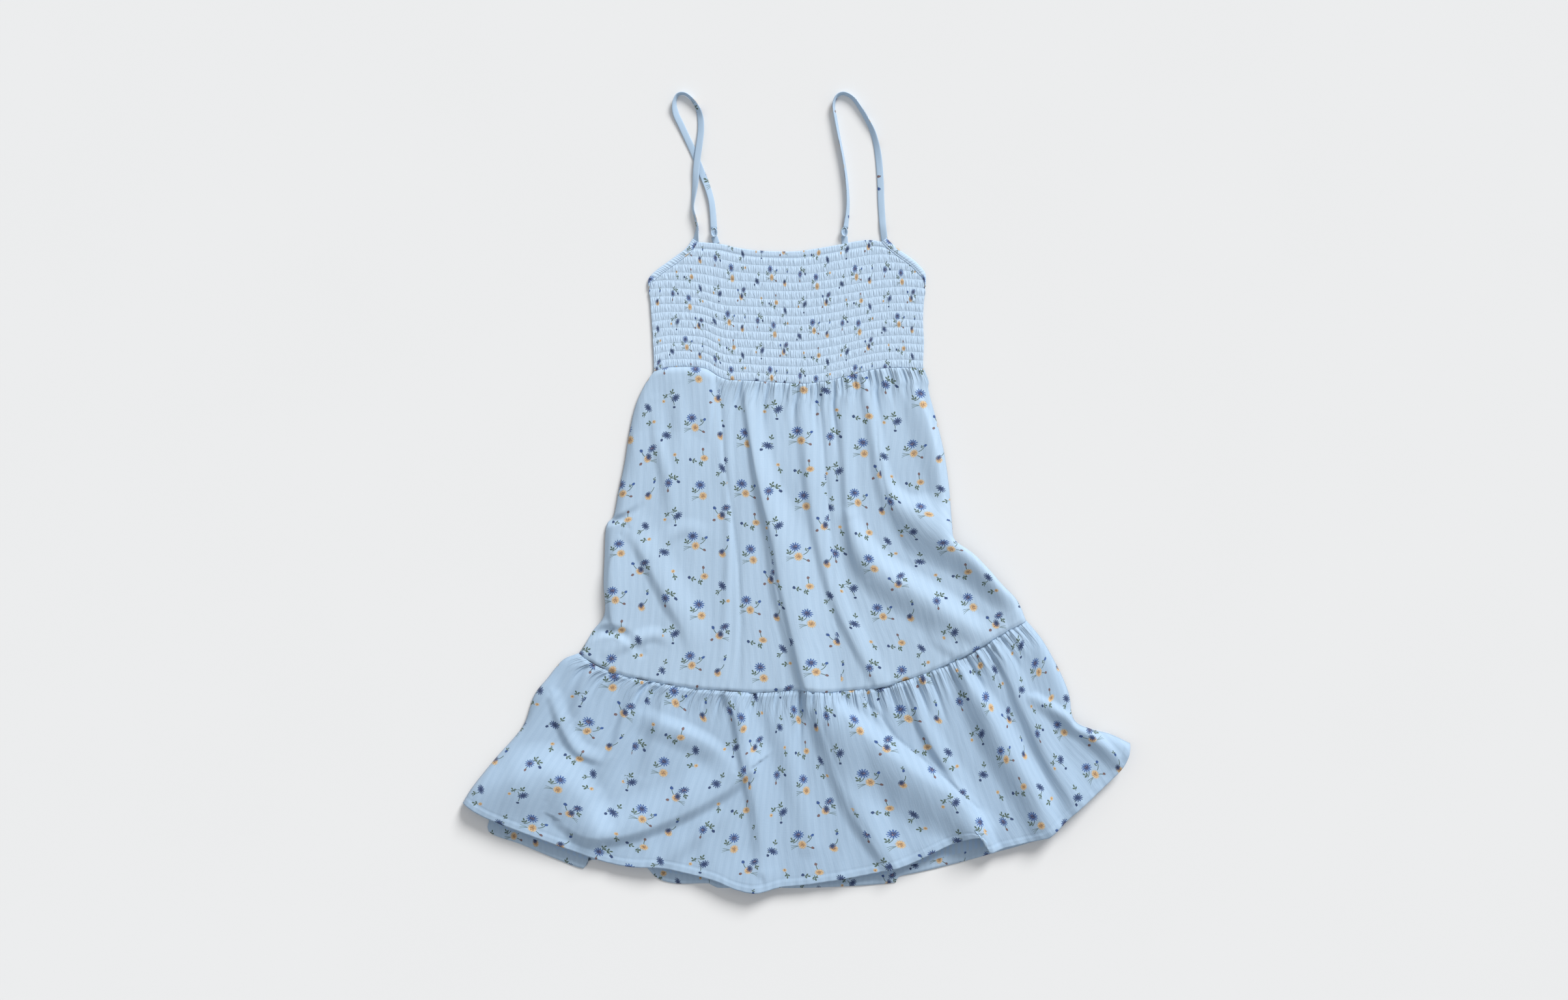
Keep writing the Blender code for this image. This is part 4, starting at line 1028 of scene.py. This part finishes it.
lean *= (fold_share * rise(side_distance(plan), EDGE_ROLL / 2))[..., None]
cloth = grain(plan, SKIRT_GRAIN, SKIRT_TUCKS)
crease_drop = below_waist + OVERHANG_FADE * over_bodice
gathered_finish = cotton("gathered_cotton", puckers=(gathered_creases, "seam", GATHER_HEIGHT))
skirt_front = cloth_panel("skirt_front_panel", at_height(plan + lean, FRONT_REST + settle(height)), cloth,
                          FRONT_WALL, [gathered_finish, inside_finish], seam_map(plan, crease_drop), plan,
                          SKIRT_TUCKS)
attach(skirt_front, "root")
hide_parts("skirt_front")

# The ruffle of the front. A longer strip is gathered into the tier seam and fans out in deep waves; at the
# right a flap of it is folded over the rest, with its hem lifted. Its lower edge has a narrow stitched hem.
RUFFLE_GRID = (331, 134)
HEM_DEPTH = 8.0
HEM_EVENED = 16
RUCHE_AT_TIER = 14
HEM_RAISE = 0.4
HEM_PUCKER = 0.22
HEM_PUCKER_WAVES = 430
# The ruffle is the skirt's own cloth; these darker colours are painted shade, standing in for the ruffle lying
# more in shade.
RUFFLE_PAINTED_SHADE_PALE = (0.400, 0.536, 0.688)
RUFFLE_PAINTED_SHADE_DEEP = (0.366, 0.498, 0.647)
RUFFLE_CREASES = (
    # height, then its width to the left and right, its lean, and its route:
    # x, y, share of the height and of the widths
    # the lip of the skirt goes on down the ruffle
    (7, 20, 34, -2, (
        (10, -204, 0.8, 0.7), (27, -248, 1, 0.9), (38, -276, 1, 1), (54, -315, 1, 1),
        (69, -346, 1, 1), (88, -378, 0.8, 0.8), (103, -399, 0.5, 0.8))),
    # the flap folded over at the right
    (12.5, 50, 26, 2, (
        (27, -215, 0.2, 0.5), (54, -247, 0.9, 0.8), (85, -276, 1, 1), (124, -304, 1, 1),
        (159, -327, 1, 1), (187, -351, 0.8, 0.7), (206, -382, 0.5, 0.5))),
    (4.5, 8, 18, 0, (
        (113, -206, 0.6, 1), (132, -247, 1, 1), (156, -289, 1, 1), (184, -329, 0.6, 1),
        (202, -357, 0.1, 1))),
    # waves at the right
    (11, 30, 22, 0, (
        (177, -197, 0.5, 0.6), (201, -234, 1, 0.9), (225, -276, 1, 1), (250, -318, 1, 1),
        (269, -359, 0.8, 1))),
    (5.5, 12, 24, 0, (
        (218, -180, 0.6, 0.8), (244, -234, 1, 1), (269, -287, 1, 1), (290, -322, 0.6, 1),
        (302, -343, 0.2, 1))),
    (8, 16, 9, 0, ((258, -222, 0.5, 0.8), (288, -241, 1, 1), (317, -261, 1, 1), (340, -284, 0.4, 1))),
    # the long curved wave at the left
    (8, 14, 40, 0, (
        (-248, -355, 0.3, 0.8), (-226, -367, 0.8, 1), (-191, -367, 1, 1), (-156, -357, 1, 1),
        (-118, -341, 1, 1), (-80, -320, 1, 1), (-52, -299, 0.6, 0.9))),
    (6, 12, 26, -1.5, (
        (-79, -206, 0.6, 0.8), (-62, -241, 1, 1), (-54, -284, 1, 1), (-48, -315, 0.9, 1),
        (-41, -354, 0.6, 1), (-36, -402, 0.4, 1))),
    (4.5, 9, 14, 0, (
        (-260, -224, 0.5, 1), (-250, -252, 1, 1), (-236, -276, 1, 1), (-218, -285, 0.6, 1),
        (-205, -286, 0.1, 1))),
    (5, 10, 18, 0, (
        (-167, -205, 0.8, 0.8), (-180, -234, 1, 1), (-192, -270, 1, 1), (-206, -298, 0.5, 1),
        (-214, -315, 0.1, 1))),
    (12, 54, 40, 0, (
        (-345, -330, 0.3, 0.8), (-300, -312, 1, 1), (-261, -307, 1, 1), (-233, -330, 0.8, 0.8),
        (-214, -362, 0.5, 0.6))),
    (4.5, 22, 14, 0, ((-167, -240, 0.3, 1), (-132, -254, 1, 1), (-97, -271, 1, 1), (-74, -292, 0.3, 1))),
    (3, 18, 18, 0, ((-31, -215, 0.3, 1), (-16, -262, 1, 1), (-1, -318, 1, 1), (12, -374, 0.6, 1))),
    (5, 12, 18, 0, ((-216, -184, 0.7, 1), (-229, -214, 1, 1), (-240, -241, 0.4, 1))),
    (4, 12, 16, 0, (
        (-135, -203, 0.6, 0.8), (-144, -241, 1, 1), (-156, -276, 0.8, 1), (-167, -304, 0.2, 1))),
    (3.5, 16, 22, 0, ((-156, -406, 0.8, 1), (-128, -382, 1, 1), (-93, -355, 0.6, 1), (-74, -338, 0.1, 1))),
)
HEM_LIFTS = (
    # x, y, reach, height
    (190, -368, 34, 8.0), (140, -390, 40, 3.0), (-296, -362, 70, 4.5), (-60, -424, 46, 4.0),
    (300, -340, 60, 4.0),
    (352, -274, 30, 3.0),
)
RUFFLE_GRAIN = (
    # x, y, across, down
    (-196, -203, -88.9, 2.1), (-222.6, -252, -95.2, 59.5), (-253.4, -311.5, -88.9, 129.5),
    (-282.1, -354.9, -95.2, 186.9), (-130.2, -220.5, 0, 0), (-142.8, -294, 6.3, 70),
    (-164.5, -345.1, 0, 127.4), (-56, -246.4, 101.5, 10.5), (-53.2, -302.4, 95.2, 67.9),
    (-67.2, -375.9, 101.5, 137.9), (0, -239.4, 190.4, 8.4), (8.4, -312.9, 196.7, 78.4),
    (4.2, -373.1, 190.4, 135.8), (63, -249.2, 291.9, 18.9), (75.6, -306.6, 285.6, 76.3),
    (106.4, -371, 291.9, 146.3), (116.2, -238.7, 380.8, 16.8), (203.7, -224.7, 482.3, 27.3),
    (221.2, -281.4, 476, 84.7), (255.5, -351.4, 482.3, 154.7), (257.6, -189, 571.2, 25.2),
    (281.4, -253.4, 577.5, 95.2), (315.7, -298.9, 571.2, 152.6),
)
RUFFLE_TUCKS = (
    # width, then y, x and the cloth that it hides
    (7, (
        (-210, -70.7, 21), (-241.5, -62.3, 21), (-302.4, -51.1, 25.2), (-374.5, -42, 14),
        (-409.5, -37.1, 5.6))),
    (9.8, ((-206.5, 11.9, 14), (-269.5, 36.4, 15.4), (-339.5, 60.9, 16.8), (-402.5, 104.3, 9.8))),
    (9, (
        (-213.5, 66.5, 28), (-241.5, 90.3, 36.4), (-262.5, 104.3, 38.5), (-283.5, 130.9, 39.9),
        (-311.5, 162.4, 42), (-339.5, 193.9, 42), (-374.5, 205.1, 38.5))),
    (7, ((-199.5, -155.4, 18.2), (-241.5, -166.6, 14), (-304.5, -184.1, 5.6))),
    (5.6, ((-189, -214.9, 14), (-224, -226.1, 11.2), (-248.5, -236.6, 1.4))),
)
TIER_GATHERS = (
    # x at the seam, half_width, height, length
    (-216, 3.0, -1.8, 40), (-207, 3.2, 1.3, 46), (-198, 2.6, -1.9, 44), (-188, 3.2, 1.4, 36),
    (-178, 2.8, -1.5, 30),
    (-168, 3.4, 1.3, 42), (-156, 3.2, -3.4, 66), (-149, 2.6, 1.8, 34), (-143, 2.2, -1.8, 30),
    (-136, 2.6, 1.3, 32),
    (-128, 2.4, -1.6, 36), (-118, 2.8, 1.2, 40), (-107, 2.6, -1.8, 46), (-97, 2.6, 1.3, 30),
    (-91, 2.2, -1.5, 34),
    (-84, 2.4, 1.4, 28), (-77, 2.2, -1.8, 44), (-70, 2.4, 1.3, 34), (-62, 2.2, -1.5, 30),
    (-53, 2.6, 1.2, 40),
    (-44, 2.6, -1.9, 46), (-34, 2.8, 1.4, 36), (-20, 2.6, -1.7, 42), (-8, 2.8, 1.3, 38), (5, 3.2, -3.2, 70),
    (12, 2.4, 1.8, 40), (18, 2.4, -1.8, 44), (29, 2.6, -1.7, 50), (40, 2.6, 1.4, 40), (52, 2.4, -1.4, 30),
    (64, 2.6, 1.2, 36), (75, 2.6, -2.0, 54), (85, 2.4, -1.8, 48), (92, 2.6, 1.5, 42), (99, 2.2, -1.8, 56),
    (106, 2.4, 1.4, 44), (113, 2.4, -2.2, 70), (120, 2.4, 1.6, 50), (127, 2.2, -2.0, 62),
    (134, 2.4, 1.5, 46),
    (142, 2.4, -2.2, 72), (151, 2.6, 1.6, 50), (161, 2.8, -1.9, 58), (171, 2.6, 1.4, 44),
    (181, 2.6, -2.0, 66),
    (192, 2.8, 1.6, 50), (201, 2.4, -2.2, 70), (209, 2.4, 1.4, 46), (217, 2.2, -1.8, 54),
    (228, 2.8, 1.5, 44),
    (237, 2.4, -1.5, 36),
)

tier_edge = moved(TIER_SEAM, SEAM_OVERLAP / 2)
plan = tier_plan(tier_edge, HEM, joined(RUFFLE_LEFT, tier_edge[0], HEM[0]),
                 joined(RUFFLE_RIGHT, tier_edge[-1], HEM[-1]), RUFFLE_GRID)
# Only the last rows follow the corners of the hem, the others run evenly.
even = np.hanning(2 * HEM_EVENED + 1) / HEM_EVENED
padded = np.pad(plan[-1], ((HEM_EVENED, HEM_EVENED), (0, 0)), mode="reflect", reflect_type="odd")
even_hem = np.stack([np.convolve(padded[:, axis], even, mode="valid") for axis in (0, 1)], axis=1)
down_share = np.linspace(0, 1, RUFFLE_GRID[1])[:, None, None]
plan = plan + (plan[-1] - even_hem) * (down_share**8 - down_share)
folds, lean = charted_folds(plan, RUFFLE_CREASES)
height = LOFT * rise(side_distance(plan), EDGE_ROLL)
height += folds + tuck_valleys(plan, RUFFLE_TUCKS) + soft_waves(plan, 8, WAVE_SIZE)
height += seam_gathers(plan, plan[0], TIER_GATHERS) + ruched_edge(plan, plan[0], RUCHE_AT_TIER)
for x, y, reach, lift in HEM_LIFTS:
    height += lift * bump(np.linalg.norm(plan - (x, y), axis=2) / reach)
from_seam = np.linalg.norm(plan - plan[:1], axis=2)
to_hem = np.linalg.norm(plan - plan[-1:], axis=2)
height -= SEAM_DIP * bump(from_seam / SEAM_DIP_WIDTH)
height *= rise(side_distance(plan) + 1, EDGE_ROLL / 2)
hem_band = HEM_RAISE * (ease((HEM_DEPTH - to_hem) / 1.2) - bump((to_hem - HEM_DEPTH) / 1.6))
waves = np.sin(np.linspace(0, 1, RUFFLE_GRID[0]) * HEM_PUCKER_WAVES)
pucker = HEM_PUCKER * waves * ease(1.4 - to_hem / HEM_DEPTH)
lean *= (ease(from_seam / 20) * rise(side_distance(plan), EDGE_ROLL / 2))[..., None]
cloth = grain(plan, RUFFLE_GRAIN, RUFFLE_TUCKS)
# The ruffle's finish has painted shade: darker colours than the skirt's, though it is the same cloth.
ruffle_painted_shade_finish = cotton("ruffle_cotton_painted_shade", light=RUFFLE_PAINTED_SHADE_PALE, shade=RUFFLE_PAINTED_SHADE_DEEP,
                       puckers=(gathered_creases, "seam", GATHER_HEIGHT))
ruffle_front = cloth_panel("ruffle_front_panel",
                           at_height(plan + lean, FRONT_REST + settle(height) + hem_band + pucker), cloth,
                           FRONT_WALL, [ruffle_painted_shade_finish, inside_finish], seam_map(plan, from_seam), plan,
                           RUFFLE_TUCKS)
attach(ruffle_front, "root")
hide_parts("ruffle_front")

# The straps. Each is a narrow flat tube of the same cotton, sewn to a front corner of the bodice and tied in
# a knot to a short stub at the back. They lie in loose loops above the neckline, turned over here and there.
STRAP_WIDTH = 7.0
STRAP_THICK = 1.5
STRAP_LEFT = (
    # x, y, lift, turn
    (-109, 260, 0.9, 5), (-108.4, 267, 0.9, 12), (-107.4, 274.5, 1.8, 48), (-106.5, 284, 3.2, 72),
    (-108.5, 294, 3.6, 74),
    (-111, 304, 3.9, 72), (-110.5, 314, 3.7, 58), (-108.5, 330, 3.4, 25), (-107.5, 345, 3.7, 5),
    (-106, 360, 3.7, 5), (-104, 374, 3.4, 10), (-102.5, 388, 2.4, 15), (-103, 401, 1.9, 20),
    (-106, 412, 2.9, 52),
    (-112, 421, 3.6, 68), (-120, 427, 3.8, 74), (-127.5, 426, 3.6, 72), (-131, 417, 2.8, 55),
    (-129.5, 406, 1.9, 20), (-124, 394, 1.4, 10), (-118, 381, 1.2, 5), (-112, 368, 1.1, 0),
    (-106.5, 355, 1.1, 0), (-101, 341, 1.2, 5), (-95.5, 327, 1.6, 20), (-91.5, 313, 1.9, 25),
    (-89.7, 299, 1.8, 20), (-88.6, 282, 2.6, 5),
)
STRAP_RIGHT = (
    # x, y, lift, turn
    (96, 265.5, 0.9, 0), (94.4, 272.8, 2.0, 10), (93, 284, 2.6, 10), (92, 296, 1.4, 5), (91, 313, 1.1, 0),
    (90.5, 330, 1.1, 0), (89.5, 346, 1.2, 5), (88, 361, 1.5, 15), (85.5, 375, 2.0, 30),
    (81.5, 388, 2.6, 42),
    (76, 399, 2.9, 55), (69, 411, 3.2, 62), (60.5, 422.5, 3.5, 68), (51, 427.5, 3.6, 72),
    (43.5, 424.5, 3.6, 72),
    (40, 414.5, 3.2, 68), (42, 402, 2.8, 66), (44.5, 388, 2.8, 68), (47.5, 373, 2.8, 70),
    (50.5, 358, 2.8, 72), (53, 342, 2.8, 70), (54.8, 326, 2.7, 68), (55.5, 311, 2.7, 64),
    (54.8, 298, 2.7, 58), (52.8, 283, 2.8, 40),
)
KNOTS = (
    # side, x, y, tab_x, tab_y
    ("left", -88.2, 278.6, -85.6, 266.4),
    ("right", 51.6, 279.2, 52.3, 265.4),
)
# width and thickness of the knots' loops, of the strap inside them and of the stubs
KNOT_LOOP = (3.8, 1.5)
KNOT_CORE = (3.6, 2.4)
STUB = (6.8, 1.2)
STUB_HEIGHT = 0.75


def flat_strap(name, centres, sides, width, thick, finish, cloth_from):
    """A flat tube of cloth through centres, its width along the sides, closed at both ends."""
    centres = np.array(centres, float)
    way = np.gradient(centres, axis=0)
    way /= np.linalg.norm(way, axis=1)[:, None]
    sides = sides - (sides * way).sum(axis=1)[:, None] * way
    sides /= np.linalg.norm(sides, axis=1)[:, None]
    faces_up = np.cross(sides, way)
    around = np.linspace(0, 2 * np.pi, 17)
    wide = np.sign(np.cos(around)) * np.abs(np.cos(around)) ** 0.8 * width / 2
    high = np.sign(np.sin(around)) * np.abs(np.sin(around)) ** 0.6 * thick / 2
    ring = centres[:, None] + wide[None, :, None] * sides[:, None] + high[None, :, None] * faces_up[:, None]
    run = np.concatenate([[0], np.cumsum(np.linalg.norm(np.diff(centres, axis=0), axis=1))])
    mesh = bmesh.new()
    bmesh.ops.create_grid(mesh, x_segments=len(around) - 1, y_segments=len(centres) - 1, size=1)
    for index, point in enumerate(mesh.verts):
        point.co = ring.reshape(-1, 3)[index] * TO_METRES
    mesh.verts.index_update()
    layer = mesh.loops.layers.uv.new("cloth")
    for face in mesh.faces:
        for corner in face.loops:
            row, place = divmod(corner.vert.index, len(around))
            corner[layer].uv = ((cloth_from + place) * TO_METRES, (2 * cloth_from + run[row]) * TO_METRES)
    bmesh.ops.remove_doubles(mesh, verts=list(mesh.verts), dist=0.00001)
    bmesh.ops.holes_fill(mesh, edges=[edge for edge in mesh.edges if edge.is_boundary], sides=0)
    bmesh.ops.recalc_face_normals(mesh, faces=list(mesh.faces))
    return finished_piece(mesh, name, [finish])


def turned_sides(route):
    """Sideways directions of a strap along a route of x, y, lift and turn."""
    way = np.gradient(route[:, :3], axis=0)
    way[:, 2] = 0
    way /= np.linalg.norm(way, axis=1)[:, None]
    level = np.stack([way[:, 1], -way[:, 0], 0 * way[:, 0]], axis=1)
    turn = np.radians(route[:, 3])[:, None]
    return level * np.cos(turn) + np.array([[0, 0, 1.0]]) * np.sin(turn)


strap_finish = cotton("strap_cotton", stripe=0.2, crease=0.0004)
for name, rows, start in (("strap_left", STRAP_LEFT, -14), ("strap_right", STRAP_RIGHT, 15)):
    route = smooth_line(rows, 6)
    half = STRAP_THICK / 2 + (STRAP_WIDTH - STRAP_THICK) / 2 * np.sin(np.radians(np.abs(route[:, 3])))
    route[:, 2] = np.maximum(route[:, 2], half + 0.1)
    piece = flat_strap(f"{name}_tube", route[:, :3], turned_sides(route), STRAP_WIDTH, STRAP_THICK,
                       strap_finish, start)
    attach(piece, "root")
    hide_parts(name)

# Each knot is a small loop of the strap's own end round the stub, pulled tight.
for side, x, y, tab_x, tab_y in KNOTS:
    share = np.linspace(0, 1, 40)
    angle = share * 2.1 * math.pi + 0.6
    outwards = np.stack([np.cos(angle), np.sin(angle), 0 * share], axis=1)
    wrap = (x, y - 0.6, 3.4) + outwards * (2.5, 4.0, 0) + share[:, None] * (0, 0, 1.6)
    axis = 0.4 * outwards + (0, 0, 0.9)
    knot = flat_strap(f"strap_knot_{side}_wrap", wrap, axis, *KNOT_LOOP, strap_finish, 30)
    heart = np.stack([x + 0 * share, y - 4.6 + 9.4 * share, 3.3 + 0 * share], axis=1)
    level = np.tile((1.0, 0.0, 0.0), (len(share), 1))
    core = flat_strap(f"strap_knot_{side}_core", heart, level, *KNOT_CORE, strap_finish, 55)
    stub_share = np.linspace(0, 1, 12)[:, None]
    foot, head = np.array((tab_x, tab_y, STUB_HEIGHT)), np.array((x, y - 4.9, STUB_HEIGHT))
    stub = flat_strap(f"strap_stub_{side}", foot + (head - foot) * stub_share,
                      np.tile((1.0, 0.0, 0.0), (12, 1)), *STUB, strap_finish, 70)
    for piece in (knot, core, stub):
        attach(piece, "root")
    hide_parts(f"strap_knot_{side}")
    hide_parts(f"strap_tab_{side}")

# The surface, the light and the camera. The dress lies on a plain pale sheet under a large soft light from
# beyond its straps, with pale walls around, and is looked at from straight above.
FLOOR_COLOUR = (0.83, 0.83, 0.825)
FLOOR_MOTTLE = (0.845, 0.845, 0.84)
FRAME_WIDTH = 1.6856
CAMERA_AT = (-0.0133, -0.0091)
CAMERA_HEIGHT = 2.5
SENSOR = 36.0
KEY_FROM = (0.48, 0.78, 0.56)
KEY_SPREAD = 24
KEY_POWER = 3.15
ROOM_COLOUR = (0.95, 0.97, 1.0)
ROOM_LIGHT = 0.50

paper = bpy.data.materials.new("pale_surface")
paper.use_nodes = True
tree = paper.node_tree
shader = tree.nodes["Principled BSDF"]
place = add_node(tree, "ShaderNodeTexCoord", {}).outputs["Object"]
mottle = noise(tree, place, 5.0, 3.0)
tree.links.new(blended(tree, mottle, FLOOR_COLOUR, FLOOR_MOTTLE), shader.inputs["Base Color"])
shader.inputs["Roughness"].default_value = 0.9
shader.inputs["Specular IOR Level"].default_value = 0.2
mesh = bmesh.new()
bmesh.ops.create_grid(mesh, x_segments=8, y_segments=8, size=4)
floor = finished_piece(mesh, "floor", [paper])

sun = bpy.data.lights.new("window", "SUN")
sun.angle = math.radians(KEY_SPREAD)
sun.energy = KEY_POWER
window = bpy.data.objects.new("window", sun)
bpy.context.scene.collection.objects.link(window)
aim = -np.array(KEY_FROM)
window.rotation_euler = (math.atan2(math.hypot(aim[0], aim[1]), -aim[2]), 0,
                         math.atan2(aim[1], aim[0]) - math.pi / 2)

world = bpy.data.worlds.new("pale_room")
world.use_nodes = True
world.node_tree.nodes["Background"].inputs["Color"].default_value = (*ROOM_COLOUR, 1)
world.node_tree.nodes["Background"].inputs["Strength"].default_value = ROOM_LIGHT
bpy.context.scene.world = world
bpy.context.scene.view_settings.view_transform = "Standard"

camera = bpy.data.cameras.new("camera")
camera.sensor_width = SENSOR
camera.lens = CAMERA_HEIGHT * SENSOR / FRAME_WIDTH
camera_holder = bpy.data.objects.new("camera", camera)
camera_holder.location = (*CAMERA_AT, CAMERA_HEIGHT)
bpy.context.scene.collection.objects.link(camera_holder)
bpy.context.scene.camera = camera_holder
